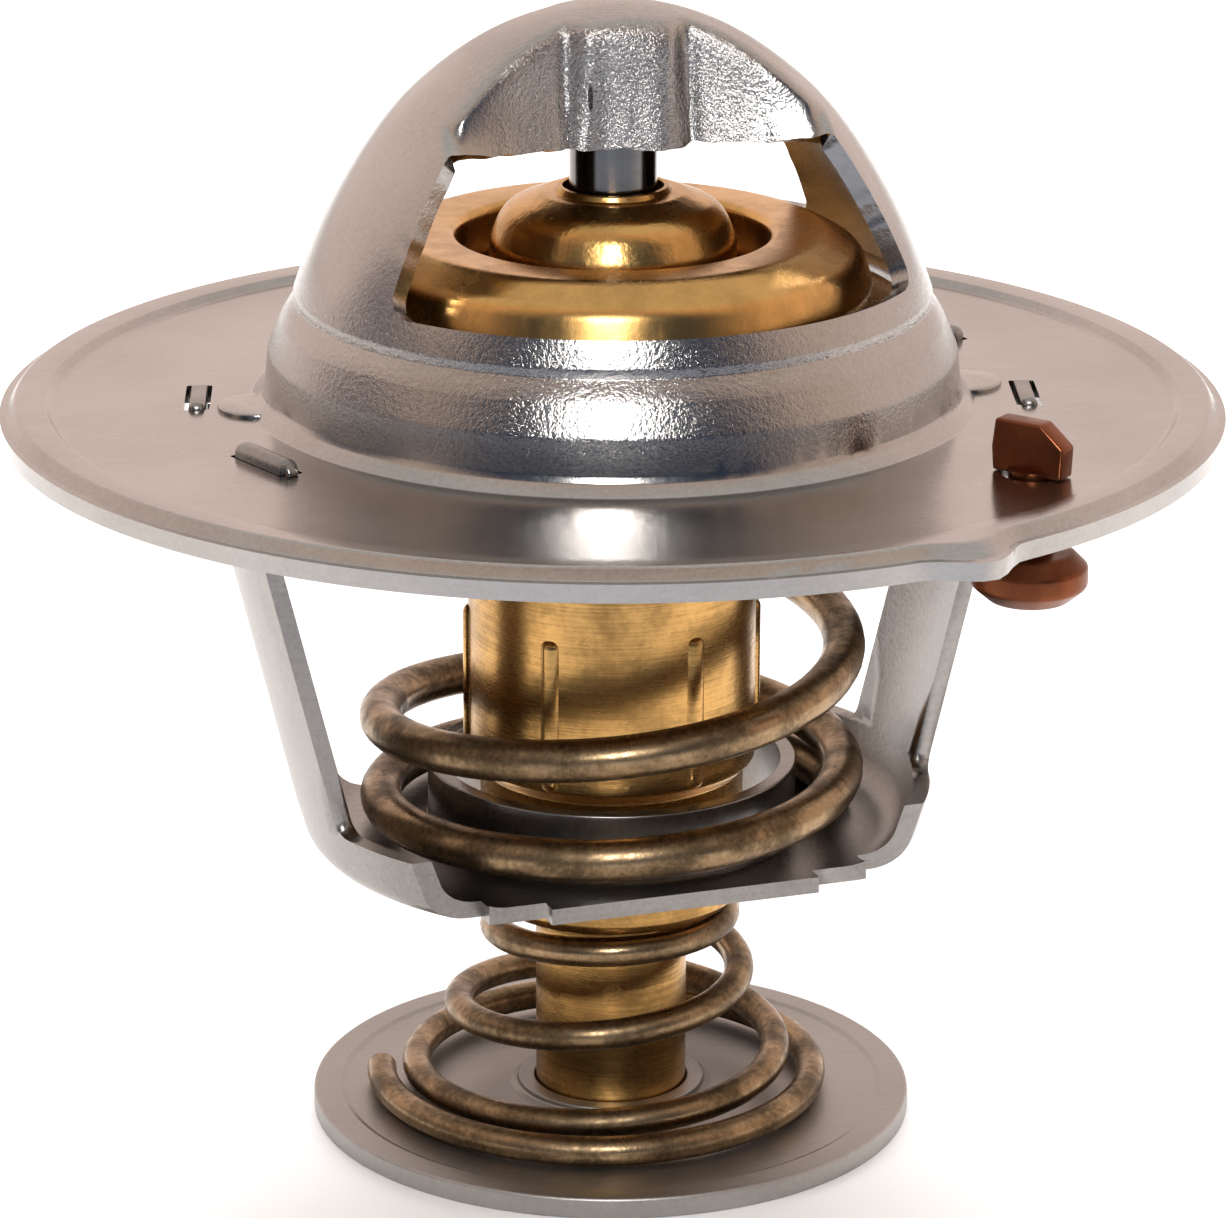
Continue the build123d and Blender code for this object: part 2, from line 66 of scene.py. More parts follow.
# All lengths below are in millimetres and all angles in degrees. Most levels are heights above the flange's upper side,
# which lies a dome's height below the crown. A path or outline lists radius, level and the fillet of the corner.
DOME_HEIGHT = 21.95
crown_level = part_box("flange_bridge")[1][2] / MM
flange_level = crown_level - DOME_HEIGHT

# Flange and neck
SHEET = 1.0
RIM_PATH = (
    (33.48, -0.25, 0), (33.1, -0.22, 0.12), (32.62, 0.42, 0.3), (31.0, 0.36, 0.2), (30.62, 0.0, 0.12),
    (30.35, -0.03, 0.1), (19.85, 0.0, 0.35), (19.2, 0.62, 0.25), (19.05, 0.95, 0.12), (18.86, 2.9, 1.2),
    (18.15, 4.6, 0.35), (17.72, 5.3, 0.12), (17.36, 5.72, 0.12), (17.42, 6.15, 0.25),
)
RING_STEPS = 240
SEAM = 0.03
DOME_START = 6.3
SHARP_EDGE_ANGLE = 50.0

# Locating nose of the rim: its root is a radius
NOSE_ANGLE = -71.0
NOSE_REACH = 1.7
NOSE_HALF_ANGLE = 5.6
NOSE_ROOT = 31.6
NOSE_BLEND = 1.9

# Bridge: its profile from the sill up, and half widths of its sheared edge and of its ridge by radius
DOME_PATH = ((17.4, 6.2), (14.95, 11.6), (10.6, 17.4), (5.6, 20.75), (0.0, DOME_HEIGHT))
CROWN_SLOPE = (1.0, 0.0)
SILL_SLOPE = (0.32, -0.95)
WINDOW_SILL = 7.65
STRAP_CELLS = 48
STRAP_ROWS = 220
LEG_HALF_ANGLE = 31.5
CORNER_RADIUS = 1.33
EDGE_RADII = (0, 2.6, 3.4, 6, 8, 10, 10.4)
EDGE_WIDTHS = (4.35, 4.25, 3.9, 4.7, 5.45, 6.1, 6.37)
RIDGE_RADII = (0, 2.3, 3.1, 3.6, 5.5, 7.5, 9.5, 10.6)
RIDGE_WIDTHS = (3.75, 3.7, 2.7, 2.75, 3.45, 4.3, 5.1, 5.4)
LEG_START, LEG_BLEND = 9.4, 2.2
WALL_END, WALL_BLEND = 9.8, 1.6
ROUND_START = 10.8
LIP_LEVEL, LIP_RISE, LIP_RADIUS = 14.75, 0.75, 11
SOFTENING_ROUNDS = 6

# Half-round pads at the foot of the neck
PAD_ANGLE = 174.0
PAD_RADIUS = 2.3
PAD_REACH = 19.4
PAD_HEIGHT = 0.25

# Stirrup frame: prongs, collar, and the cutters that clear the way for both, each a radius and two levels
FRAME_ANGLE = 5.3
PRONG_ANGLE = 17.4
PRONG_RADIUS = 22.7
PRONG_LENGTH = 4.6
PRONG_WIDTH = 1.42
PRONG_PLAY = 0.35
FOOT_LEVEL = -24.75
COLLAR_OUTLINE = (
    (11.2, -25.65, 0), (11.2, FOOT_LEVEL, 0), (10.3, FOOT_LEVEL, 0.7), (10.3, -20.85, 0.12), (9.4, -20.85, 0.12),
    (9.4, -25.65, 1.6),
)
COLLAR_CUT = (11.15, -26.2, -20.2)
PRONG_TOP_CUT = (30.0, -0.9, 2.0)
FLAT_ANGLE = 0.6

# Valve and capsule
VALVE_SHEET = 0.9
VALVE_TOP = 9.35
VALVE_PATH = (
    (8.05, 4.35, 0), (8.55, 4.35, 0.3), (8.55, VALVE_TOP, 0.55), (11.6, 9.4, 1.9), (13.6, 8.35, 1.5),
    (14.15, 6.6, 1.2), (14.15, 5.15, 0.3), (16.3, 5.15, 0),
)
HEAD_OUTLINE = (
    (2.46, 2.0, 0), (7.15, 2.0, 0), (7.15, 6.2, 0), (6.75, 6.2, 0), (6.75, 8.9, 1.6), (6.0, 10.75, 2.2),
    (3.9, 11.55, 0.8), (3.2, 11.55, 0.15), (3.05, 11.9, 0.12), (2.75, 11.9, 0.1), (2.75, 11.0, 0), (2.46, 11.0, 0),
)
CUP_SHOULDER = -20.6
CUP_FOOT = -29.1
CUP_OUTLINE = (
    (6.75, CUP_FOOT, 0), (7.35, -28.5, 0.3), (7.35, -21.25, 0.3), (8.0, CUP_SHOULDER, 0.3), (8.0, 4.4, 0),
    (8.45, 4.4, 0), (8.45, 5.3, 0.2), (8.0, 5.3, 0), (8.0, 6.9, 0.45), (6.9, 6.9, 0.1), (6.9, 6.2, 0), (7.2, 6.2, 0),
    (7.2, CUP_SHOULDER, 0), (6.55, -21.25, 0), (6.55, -27.7, 0), (3.0, -27.7, 0), (3.0, CUP_FOOT, 0),
)
RIB_ANGLE = -129.0
RIB_COUNT = 6
RIB_WIDTH = 1.15
RIB_DEPTH = 1.1
RIB_REACH = 7.75
RIB_TOP = -11.8
STEM_OUTLINE = (
    (0.0, -27.7, 0), (3.0, -27.7, 0), (3.0, CUP_FOOT, 0), (4.25, CUP_FOOT, 0), (4.25, -41.0, 0.4), (0.0, -41.0, 0),
)
PISTON_OUTLINE = (
    (0, -18.0, 0), (1.3, -18.0, 0), (2.4, -15.8, 0.4), (2.4, 20.4, 0), (2.0, 20.8, 0), (0, 20.8, 0),
)

# Bypass disc, whose levels start at its underside
DISC_SEAT = 1.1
DISC_OUTLINE = (
    (4.33, 1.05, 0), (5.9, 0.0, 0.6), (16.9, 0.0, 0.15), (16.9, 1.2, 0.25), (15.4, 1.22, 0.2), (15.1, DISC_SEAT, 0.2),
    (5.7, DISC_SEAT, 0.35), (5.28, 1.3, 0.3), (5.28, 1.6, 0.12), (4.33, 1.6, 0.12),
)

# Springs: radii at both ends, and turns counted from the lower end. A taper is the turn where it starts and the turns
# that it takes, and the lift is a height, the turn of its middle and half the turns that it takes.
COIL_STEPS = 72
MAIN_RADII = (12.92, 11.3)
MAIN_TAPER = (2.0, 1.9)
MAIN_PITCH = 9.6
MAIN_START_ANGLE = 1.0
MAIN_START_RAMP = 2.0
MAIN_END_RAMP = 1.0
MAIN_LIFT = (1.1, 2.6, 0.9)
MAIN_PLAY = 0.08
BYPASS_RADII = (12.6, 6.45)
BYPASS_TAPER = 3.05
BYPASS_PITCH = 4.7
BYPASS_START_ANGLE = 166.0
BYPASS_OFFSET = 0.45
BYPASS_FLAT, BYPASS_RAMP, BYPASS_FREE, BYPASS_END_RAMP, BYPASS_END = 0.8, 0.8, 1.4, 0.4, 0.25
BYPASS_LEAST_RISE = 0.07

# Vent pin, whose levels are above the flange
PIN_RADIUS, PIN_ANGLE = 26.5, -48.0
PIN_HOLE = 1.6
BUTTON_OUTLINE = (
    (0, -6.9, 0), (2.1, -6.9, 0.4), (3.1, -6.05, 0.5), (3.1, -5.0, 0.4), (2.3, -4.2, 0.6), (1.25, -4.2, 0.1),
    (1.25, 0.3, 0), (0, 0.3, 0),
)
TAB_SHEET = 1.3
TAB_CORNERS = ((-2.05, 0.02), (-2.15, 1.3), (-1.95, 2.85), (0.75, 2.85), (2.15, 1.7), (2.05, 0.02))

# Stage
CAMERA_PLACE = (-71.97, -288.66, 125.68)
CAMERA_AZIMUTH = 76.0
CAMERA_PITCH = 17.94
CAMERA_ROLL = 0.16
CAMERA_LENS = 165.2
CAMERA_SHIFT = 0.0012
WALL_SIDE = (0.85, 0.66, 0.55, 1.0)
WALL_BACK = (1.10, 0.90, 0.82, 1.0)
WALL_FRONT = (0.04, 0.062, 0.11, 1.0)
WALL_TOP = (0.8, 0.78, 0.76, 1.0)
FLOOR_HALF_SIZE = 3000
# Shares of the floor's colour in its painted shade towards the camera
FLOOR_SHADE = (0.40, 0.46, 0.56)
LIGHT_AIM = (0, 0, 30)
# Name, place, size, power in watts, and whether the metals mirror it
LIGHTS = (
    ("front_panel", (-112, -390, 290), (80, 150), 1.25, True),
    ("left_panel", (-420, -140, 200), (70, 220), 0.5, False),
    ("right_panel", (400, -120, 160), (40, 220), 0.4, False),
    ("top_panel", (120, 420, 460), (460, 300), 5.2, False),
)


# Places
def size_of(name):
    """One of the sizes that a user can change, in millimetres."""
    return getattr(bpy.context.scene.thermostat_sizes, name) / MM


def above(level):
    """Level in millimetres of a height above the flange."""
    return flange_level + level


def smooth(value):
    """Soft step from 0 to 1."""
    value = np.clip(value, 0.0, 1.0)
    return value * value * (3 - 2 * value)


def polar(radius, angle, level=0.0):
    """Point in millimetres at an angle in degrees."""
    turn = math.radians(angle)
    return Vector((radius * math.cos(turn), radius * math.sin(turn), level))


def turned(angle, axis="Z"):
    """Turn by an angle in degrees."""
    return Matrix.Rotation(math.radians(angle), 4, axis)


# Outlines
FILLET_SHARE = 0.48


def rounded(points, closed=True, segments=5):
    """Outline in the turning plane whose corners are rounded by the third value of each point.

    A fillet takes up to FILLET_SHARE of the sides that it joins.
    """
    outline = []
    count = len(points)
    for index, (radius, level, fillet) in enumerate(points):
        corner = Vector((radius, level))
        if fillet <= 0 or (not closed and index in (0, count - 1)):
            outline.append(tuple(corner))
            continue
        before = Vector(points[index - 1][:2]) - corner
        after = Vector(points[(index + 1) % count][:2]) - corner
        half = before.angle(after) / 2
        reach = min(fillet / math.tan(half), FILLET_SHARE * before.length, FILLET_SHARE * after.length)
        start = corner + before.normalized() * reach
        end = corner + after.normalized() * reach
        for step in range(segments + 1):
            share = step / segments
            outline.append(tuple(start * (1 - share) ** 2 + corner * 2 * share * (1 - share) + end * share ** 2))
    return outline


def lifted(points):
    """Points with their height above the flange made a level."""
    return [(radius, above(level), fillet) for radius, level, fillet in points]


def walled(path, thickness, edge=0.12):
    """Closed outline of a sheet that lies to the right of an open path, with its two ends broken."""
    line = [Vector(point) for point in path]
    other = []
    for index, point in enumerate(line):
        along = line[min(index + 1, len(line) - 1)] - line[max(index - 1, 0)]
        along.normalize()
        other.append(point + Vector((along.y, -along.x)) * thickness)
    ends = []
    for first, second, inner in ((line[-1], other[-1], line[-2]), (other[0], line[0], line[1])):
        across = (second - first).normalized() * edge
        back = (inner - line[-1 if first is line[-1] else 0]).normalized() * edge
        ends.append([first + back, first + across, second - across, second + back])
    body = line[1:-1] + ends[0] + other[::-1][1:-1] + ends[1]
    return [tuple(point) for point in body]


# Forms
def spun(outline, steps=192, closed=True):
    """Full turn of an outline about the axis, in millimetres."""
    form = bmesh.new()
    corners = [form.verts.new((radius * MM, 0, level * MM)) for radius, level in outline]
    edges = [form.edges.new(pair) for pair in zip(corners, corners[1:])]
    if closed:
        edges.append(form.edges.new((corners[-1], corners[0])))
    bmesh.ops.spin(
        form, geom=corners + edges, cent=(0, 0, 0), axis=(0, 0, 1), dvec=(0, 0, 0),
        angle=2 * math.pi, steps=steps, use_merge=True, use_duplicate=False,
    )
    bmesh.ops.remove_doubles(form, verts=form.verts, dist=MERGED)
    bmesh.ops.recalc_face_normals(form, faces=form.faces)
    return form


def drum(radius, low, high):
    """Plain drum on the axis between two heights above the flange, used as a cutter."""
    return spun([(0, above(low)), (radius, above(low)), (radius, above(high)), (0, above(high))], 96)


def placed(form, place):
    """A bmesh in millimetres moved by a matrix in millimetres, then made metres."""
    bmesh.ops.transform(form, matrix=Matrix.Scale(MM, 4) @ place, verts=form.verts)
    return form


def bevelled(form, edges, offset, segments=3):
    """Rounds edges of a bmesh."""
    bmesh.ops.bevel(
        form, geom=edges, offset=offset, offset_type="OFFSET", affect="EDGES", segments=segments, profile=0.5,
        material=-1,
    )


def block(size, place, bevel, segments=3):
    """Box of a size in millimetres with rounded edges, moved by a matrix in millimetres."""
    form = bmesh.new()
    bmesh.ops.create_cube(form, size=1.0)
    bmesh.ops.scale(form, vec=Vector(size), verts=form.verts)
    bevelled(form, form.edges[:] + form.verts[:], bevel, segments)
    return placed(form, place)


def joined(forms):
    """One bmesh from several."""
    whole = forms[0]
    for form in forms[1:]:
        mesh = bpy.data.meshes.new("joint")
        form.to_mesh(mesh)
        form.free()
        whole.from_mesh(mesh)
        bpy.data.meshes.remove(mesh)
    return whole


# Objects
def linked(name, form):
    """Object made from a bmesh."""
    mesh = bpy.data.meshes.new(name)
    form.to_mesh(mesh)
    form.free()
    made = bpy.data.objects.new(name, mesh)
    bpy.context.scene.collection.objects.link(made)
    return made


def dressed(made, body, finish, replaced, crease=32):
    """Shading, finish, body, slot and CAD node of a made object."""
    made.data.shade_smooth()
    made.data.set_sharp_from_angle(angle=math.radians(crease))
    made.data.materials.clear()
    made.data.materials.append(finish_of(finish))
    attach(made, body)
    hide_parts(replaced)
    return made


def baked(made):
    """Mesh of an object with its modifiers applied."""
    bpy.context.view_layer.update()
    shaped = made.evaluated_get(bpy.context.evaluated_depsgraph_get())
    return bpy.data.meshes.new_from_object(shaped)


def applied(made):
    """Bakes an object's modifiers into its mesh."""
    mesh = baked(made)
    made.modifiers.clear()
    old = made.data
    made.data = mesh
    bpy.data.meshes.remove(old)
    mesh.name = made.name
    return made


def break_edges(made, width, angle):
    """Modifier that breaks the edges which turn by more than an angle."""
    edge = made.modifiers.new("edges", "BEVEL")
    edge.limit_method = "ANGLE"
    edge.angle_limit = math.radians(angle)
    edge.width = width * MM
    edge.segments = 2


def swept(made, rounds=1):
    """Takes the faces without area out of an object's mesh."""
    form = bmesh.new()
    form.from_mesh(made.data)
    for _ in range(rounds):
        bmesh.ops.dissolve_degenerate(form, dist=SLIVER, edges=form.edges)
        bmesh.ops.remove_doubles(form, verts=form.verts, dist=MERGED)
    bmesh.ops.recalc_face_normals(form, faces=form.faces)
    form.to_mesh(made.data)
    form.free()
    return made


def cut(made, cutter, operation="DIFFERENCE"):
    """Takes a cutter out of an object, or adds it with UNION."""
    tool = linked("cutter", cutter)
    change = made.modifiers.new("cut", "BOOLEAN")
    change.operation = operation
    change.solver = "EXACT"
    change.object = tool
    applied(made)
    mesh = tool.data
    bpy.data.objects.remove(tool)
    bpy.data.meshes.remove(mesh)


def coil(points, wire, name):
    """Round wire along points in millimetres, as a mesh."""
    line = bpy.data.curves.new(name, "CURVE")
    line.dimensions = "3D"
    line.bevel_depth = wire / 2 * MM
    line.bevel_resolution = 7
    line.use_fill_caps = True
    strand = line.splines.new("POLY")
    strand.points.add(len(points) - 1)
    for target, point in zip(strand.points, points):
        target.co = (point[0] * MM, point[1] * MM, point[2] * MM, 1)
    holder = bpy.data.objects.new(name, line)
    bpy.context.scene.collection.objects.link(holder)
    mesh = baked(holder)
    bpy.data.objects.remove(holder)
    bpy.data.curves.remove(line)
    form = bmesh.new()
    form.from_mesh(mesh)
    bpy.data.meshes.remove(mesh)
    bmesh.ops.remove_doubles(form, verts=form.verts, dist=MERGED)
    bmesh.ops.recalc_face_normals(form, faces=form.faces)
    return linked(name, form)


# Shader maths
class Value:
    """A number that changes over a surface, with Python's operators."""

    def __init__(self, finish, socket):
        self.finish = finish
        self.socket = socket

    def maths(self, operation, *values, clamp=False):
        settings = {"operation": operation, "use_clamp": clamp}
        node = self.finish.node("ShaderNodeMath", settings, dict(enumerate(values)))
        return Value(self.finish, node.outputs[0])

    def __add__(self, other):
        return self.maths("ADD", self, other)

    def __radd__(self, other):
        return self.maths("ADD", other, self)

    def __sub__(self, other):
        return self.maths("SUBTRACT", self, other)

    def __rsub__(self, other):
        return self.maths("SUBTRACT", other, self)

    def __mul__(self, other):
        return self.maths("MULTIPLY", self, other)

    def __rmul__(self, other):
        return self.maths("MULTIPLY", other, self)

    def __pow__(self, other):
        return self.maths("POWER", self, other)

    def clamped(self):
        """The value kept between 0 and 1."""
        return self.maths("ADD", self, 0.0, clamp=True)

    def step(self, low, high):
        """Soft mask that rises from 0 at low to 1 at high."""
        settings = {"interpolation_type": "SMOOTHSTEP"}
        inputs = {"Value": self, "From Min": low, "From Max": high, "To Min": 0.0, "To Max": 1.0}
        return Value(self.finish, self.finish.node("ShaderNodeMapRange", settings, inputs).outputs[0])


class Finish:
    """A finish made of nodes that read Object coordinates."""

    def __init__(self, name):
        self.material = bpy.data.materials.new(name)
        self.start(self.material)
        self.place = self.node("ShaderNodeTexCoord").outputs["Object"]

    def start(self, holder):
        """Empties the nodes of a material or a world."""
        holder.use_nodes = True
        self.tree = holder.node_tree
        self.tree.nodes.clear()

    def node(self, kind, settings=None, inputs=None):
        """Node with its settings, and its inputs set or linked."""
        node = self.tree.nodes.new(kind)
        for key, value in (settings or {}).items():
            setattr(node, key, value)
        for key, value in (inputs or {}).items():
            if isinstance(value, Value):
                value = value.socket
            if isinstance(value, bpy.types.NodeSocket):
                self.tree.links.new(value, node.inputs[key])
            else:
                node.inputs[key].default_value = value
        return node

    def stretched(self, scale):
        """Object coordinates stretched by a scale on each axis."""
        inputs = {"Vector": self.place, "Scale": scale}
        return self.node("ShaderNodeMapping", {"vector_type": "POINT"}, inputs).outputs[0]

    def noise(self, size, detail=4.0, rough=0.55, place=None):
        """Noise between 0 and 1 whose lumps are about a size in millimetres."""
        inputs = {"Vector": place or self.place, "Scale": 1 / (size * MM), "Detail": detail, "Roughness": rough}
        return Value(self, self.node("ShaderNodeTexNoise", None, inputs).outputs[0])

    def parts(self):
        """The three coordinates of the place, as they are."""
        split = self.node("ShaderNodeSeparateXYZ", None, {0: self.place})
        return [Value(self, split.outputs[index]) for index in range(3)]

    def axis(self, letter):
        """One Object coordinate in millimetres."""
        return self.parts()["XYZ".index(letter)] * (1 / MM)

    def radius(self):
        """Distance from the axis in millimetres."""
        across = self.axis("X")
        deep = self.axis("Y")
        return (across * across + deep * deep) ** 0.5

    def stretch_mask(self, outside, inside, foot):
        """1 where the sheet is drawn up inside a radius and above a level in millimetres."""
        radius = self.radius()
        level = self.axis("Z")
        legs = radius.step(8.5, 10.5) * level.step(foot + 6, foot + 8)
        crown = 1 - radius.step(7.0, 9.0)
        return (1 - radius.step(inside, outside)) * level.step(foot, foot + 1.5) * (1 - 0.7 * legs + 1.2 * crown)

    def mix(self, mask, first, second):
        """Colour between two colours."""
        inputs = {"Factor": mask, 6: first, 7: second}
        return self.node("ShaderNodeMix", {"data_type": "RGBA", "blend_type": "MIX"}, inputs).outputs[2]

    def bumped(self, height, depth):
        """Normal from a height mask, depth in millimetres."""
        return self.node("ShaderNodeBump", None, {"Strength": 1.0, "Distance": depth * MM, "Height": height}).outputs[0]

    def shaded(self, colour, roughness, normal, metallic=1.0):
        """Ends the finish in a metal shader, or in a plain one where metallic is 0."""
        inputs = {"Base Color": colour, "Roughness": roughness, "Metallic": metallic, "Normal": normal}
        shader = self.node("ShaderNodeBsdfPrincipled", None, inputs)
        self.node("ShaderNodeOutputMaterial", None, {"Surface": shader.outputs[0]})
        return self.material


def ahead_and_beside(across, deep):
    """Distances towards the camera's side of the studio, and to its right."""
    turn = math.radians(CAMERA_AZIMUTH)
    ahead = (-math.cos(turn)) * across + (-math.sin(turn)) * deep
    beside = math.sin(turn) * across + (-math.cos(turn)) * deep
    return ahead, beside


class Sky(Finish):
    """Studio walls: pale and warm all round, dim and cool behind the camera, bright overhead."""

    def __init__(self, name):
        self.world = bpy.data.worlds.new(name)
        self.start(self.world)
        self.place = self.node("ShaderNodeTexCoord").outputs["Generated"]
        across, deep, up = self.parts()
        ahead, beside = ahead_and_beside(across, deep)
        colour = self.mix((ahead * -1.0).step(-0.35, 0.6), WALL_SIDE, WALL_BACK)
        colour = self.mix(ahead.step(0.3, 0.75), colour, WALL_FRONT)
        gap = (beside * -1.0).step(0.88, 0.96)
        colour = self.mix(gap * 0.8, colour, WALL_FRONT)
        colour = self.mix((up - ahead.clamped()).step(0.5, 0.9), colour, WALL_TOP)
        shine = self.node("ShaderNodeBackground", None, {0: colour, 1: 1.0})
        self.node("ShaderNodeOutputWorld", None, {"Surface": shine.outputs[0]})


# Finishes
# Colour of the dark patches at the neck's foot and of the painted shade in the crown's slit
DARK_PATCH_AND_SHADE = (0.02, 0.018, 0.016, 1.0)
SLIT_PLACE, SLIT_HALF = (-2.2, 17.6), (0.15, 0.75)


def crown_slit_shade(finish):
    """Mask of the painted shade of a short slit on the boss of the crown."""
    across = finish.axis("X") * (1 / SLIT_HALF[0]) - SLIT_PLACE[0] / SLIT_HALF[0]
    up = finish.axis("Z") * (1 / SLIT_HALF[1]) - above(SLIT_PLACE[1]) / SLIT_HALF[1]
    return (1 - (across * across + up * up).step(0.5, 1.3)) * (1 - finish.axis("Y").step(-3.2, -2.6))


def neck_dark_patches(finish):
    """Mask of the dark patches at the right foot of the neck."""
    beside = finish.axis("X").step(14.5, 16.5) * (1 - finish.axis("Z").step(above(2.2), above(3.4)))
    return finish.noise(0.5, 4.0, 0.8).step(0.56, 0.62) * beside * finish.axis("Z").step(above(0.4), above(1.0))


def sheet_steel(name, light, dark, shine=0.2, grain=0.25, pebble=0.012, skin=None, dark_patches_and_shades=(), lay=(1.0, 1.0, 1.0)):
    """Pressed sheet: faintly cloudy colour, fine grain, and a wrinkled skin where the sheet was stretched."""
    finish = Finish(name)
    clouds = finish.noise(9.0, 3.0)
    specks = finish.noise(grain, 2.0, 0.6, place=finish.stretched(lay))
    fine = finish.noise(grain * 0.4, 2.0, 0.6, place=finish.stretched(lay))
    scratch = finish.noise(0.3, 2.0, 0.7, place=finish.stretched((0.08, 1.0, 1.0)))
    pits = finish.noise(0.6, 2.0, 0.7).step(0.70, 0.76)
    mask = (clouds * 0.5 + specks * 0.3 + scratch * 0.2).step(0.3, 0.7)
    colour = finish.mix(mask * (1 - 0.8 * pits), dark, light)
    # Dark patches, and the painted shade of the crown's slit
    for dark_patch in dark_patches_and_shades:
        colour = finish.mix(dark_patch(finish) * 0.9, colour, DARK_PATCH_AND_SHADE)
    height = specks + 0.5 * fine
    if skin:
        height = height * (0.1 + 0.9 * finish.stretch_mask(*skin))
    return finish.shaded(colour, shine + 0.1 * clouds + 0.1 * specks, finish.bumped(height, pebble))


def brass(name, light, dark, shine=0.2, streak_size=1.2, lay=(1.0, 1.0, 0.25), pebble=0.008):
    """Brass or copper with a little tarnish, and streaks that follow how it was drawn or turned."""
    finish = Finish(name)
    clouds = finish.noise(4.0, 4.0)
    streaks = finish.noise(streak_size, 3.0, 0.6, place=finish.stretched(lay))
    specks = finish.noise(0.35, 2.0)
    tarnish = (0.55 * clouds + 0.3 * streaks + 0.15 * specks).step(0.38, 0.62)
    colour = finish.mix(tarnish, dark, light)
    roughness = shine + 0.12 * (1 - tarnish) + 0.06 * specks
    return finish.shaded(colour, roughness, finish.bumped(0.6 * streaks + 0.6 * specks, pebble))


def drawn_wire(name, light, dark):
    """Spring wire, tempered brown, with dark smears."""
    finish = Finish(name)
    smears = finish.noise(3.0, 4.0, 0.6)
    grain = finish.noise(0.3, 3.0, 0.65)
    mask = (0.7 * smears + 0.3 * grain).step(0.36, 0.64)
    colour = finish.mix(mask, dark, light)
    roughness = 0.2 + 0.2 * (1 - mask) + 0.1 * grain
    return finish.shaded(colour, roughness, finish.bumped(grain, 0.012))


def plain_solid(name, light, dark, shine):
    """Rubber or wax."""
    finish = Finish(name)
    lumps = finish.noise(1.5, 3.0)
    colour = finish.mix(lumps.step(0.3, 0.7), dark, light)
    return finish.shaded(colour, shine + 0.1 * lumps, finish.bumped(lumps, 0.01), 0.0)


# Shares of a finish's colour for its lighter and darker tone
FULL, DARK, SHADE, DEEP = 1.0, 0.78, 0.5, 0.3
TURNED_RINGS = {"streak_size": 0.6, "lay": (0.08, 0.08, 6.0)}
# Maker, lighter tone, darker tone and settings of each finish; the first word of its name is its colour
FINISHES = {
    "steel_flange": (sheet_steel, FULL, DARK, {
        "shine": 0.09, "grain": 0.24, "pebble": 0.034, "skin": (19.4, 18.9, above(0.6)),
        "dark_patches_and_shades": (crown_slit_shade, neck_dark_patches),
    }),
    # The frame's steel is painted darker than the flange's steel: painted shade, mixed with random tone
    "steel_frame": (sheet_steel, DARK, SHADE, {"grain": 0.3, "pebble": 0.018}),
    "steel_disc": (sheet_steel, FULL, DARK, {"shine": 0.34, "grain": 0.3, "pebble": 0.01}),
    # The piston's steel is painted much darker than the flange's steel: painted shade
    "steel_piston": (sheet_steel, SHADE, DEEP, {"shine": 0.08, "grain": 0.5, "lay": (1.0, 1.0, 0.03)}),
    "steel_small": (sheet_steel, FULL, DARK, {}),
    "brass_valve": (brass, FULL, DARK, {"shine": 0.17}),
    "brass_head": (brass, FULL, DARK, {"shine": 0.16, "pebble": 0.03}),
    "brass_cup": (brass, FULL, SHADE, TURNED_RINGS),
    "brass_stem": (brass, FULL, SHADE, TURNED_RINGS),
    "wire_main": (drawn_wire, FULL, DEEP, {}),
    "wire_bypass": (drawn_wire, FULL, DEEP, {}),
    "copper_pin": (brass, FULL, DARK, {"shine": 0.26, "pebble": 0.01}),
    "rubber_boot": (plain_solid, FULL, DARK, {"shine": 0.65}),
    "wax_charge": (plain_solid, FULL, DARK, {"shine": 0.5}),
}


MADE_FINISHES = {}


def toned(colour, share):
    """Share of a colour, with its alpha."""
    return tuple(part * share for part in colour[:3]) + (1.0,)


def finish_of(name):
    """The finish of that name, made once."""
    if name not in MADE_FINISHES:
        maker, light, dark, settings = FINISHES[name]
        colour = getattr(bpy.context.scene.thermostat_colours, name.split("_")[0])
        MADE_FINISHES[name] = maker(name, toned(colour, light), toned(colour, dark), **settings)
    return MADE_FINISHES[name]


# Flange, neck and bridge
def dome_table():
    """Radius and level along the outside of the dome, from the crown down."""
    knots = np.array(DOME_PATH[::-1])
    spans = np.hypot(*np.diff(knots, axis=0).T)
    places = np.concatenate(([0], np.cumsum(spans)))
    slopes = np.gradient(knots, places, axis=0)
    slopes[0] = CROWN_SLOPE
    slopes[-1] = SILL_SLOPE
    fine = np.linspace(0, places[-1], 400)
    index = np.clip(np.searchsorted(places, fine) - 1, 0, len(spans) - 1)
    share = ((fine - places[index]) / spans[index])[:, None]
    start, end = knots[index], knots[index + 1]
    rise, fall = slopes[index] * spans[index][:, None], slopes[index + 1] * spans[index][:, None]
    curve = (
        (2 * share ** 3 - 3 * share ** 2 + 1) * start + (share ** 3 - 2 * share ** 2 + share) * rise
        + (3 * share ** 2 - 2 * share ** 3) * end + (share ** 3 - share ** 2) * fall
    )
    return curve[:, 0], curve[:, 1]


DOME_RADII, DOME_LEVELS = dome_table()
SILL_RADIUS = float(np.interp(-WINDOW_SILL, -DOME_LEVELS, DOME_RADII))


def dome_level(radius):
    """Height of the dome above the flange at a radius."""
    return np.interp(radius, DOME_RADII, DOME_LEVELS)


def strap_widths(radius, level, legs):
    """Half widths of the strap at its sheared edge and at its ridge, and its half angle on the legs."""
    corner = np.clip(CORNER_RADIUS - (level - WINDOW_SILL), 0, CORNER_RADIUS)
    flare = CORNER_RADIUS - np.sqrt(CORNER_RADIUS ** 2 - corner ** 2)
    half = np.radians(LEG_HALF_ANGLE) + flare / np.maximum(radius, 1.0)
    edge = np.interp(radius, EDGE_RADII, EDGE_WIDTHS)
    edge = np.where(radius < EDGE_RADII[-1], edge, radius * np.tan(half))
    ridge = np.interp(radius, RIDGE_RADII, RIDGE_WIDTHS)
    return edge, ridge * (1 - legs) + edge / 2 * legs, half


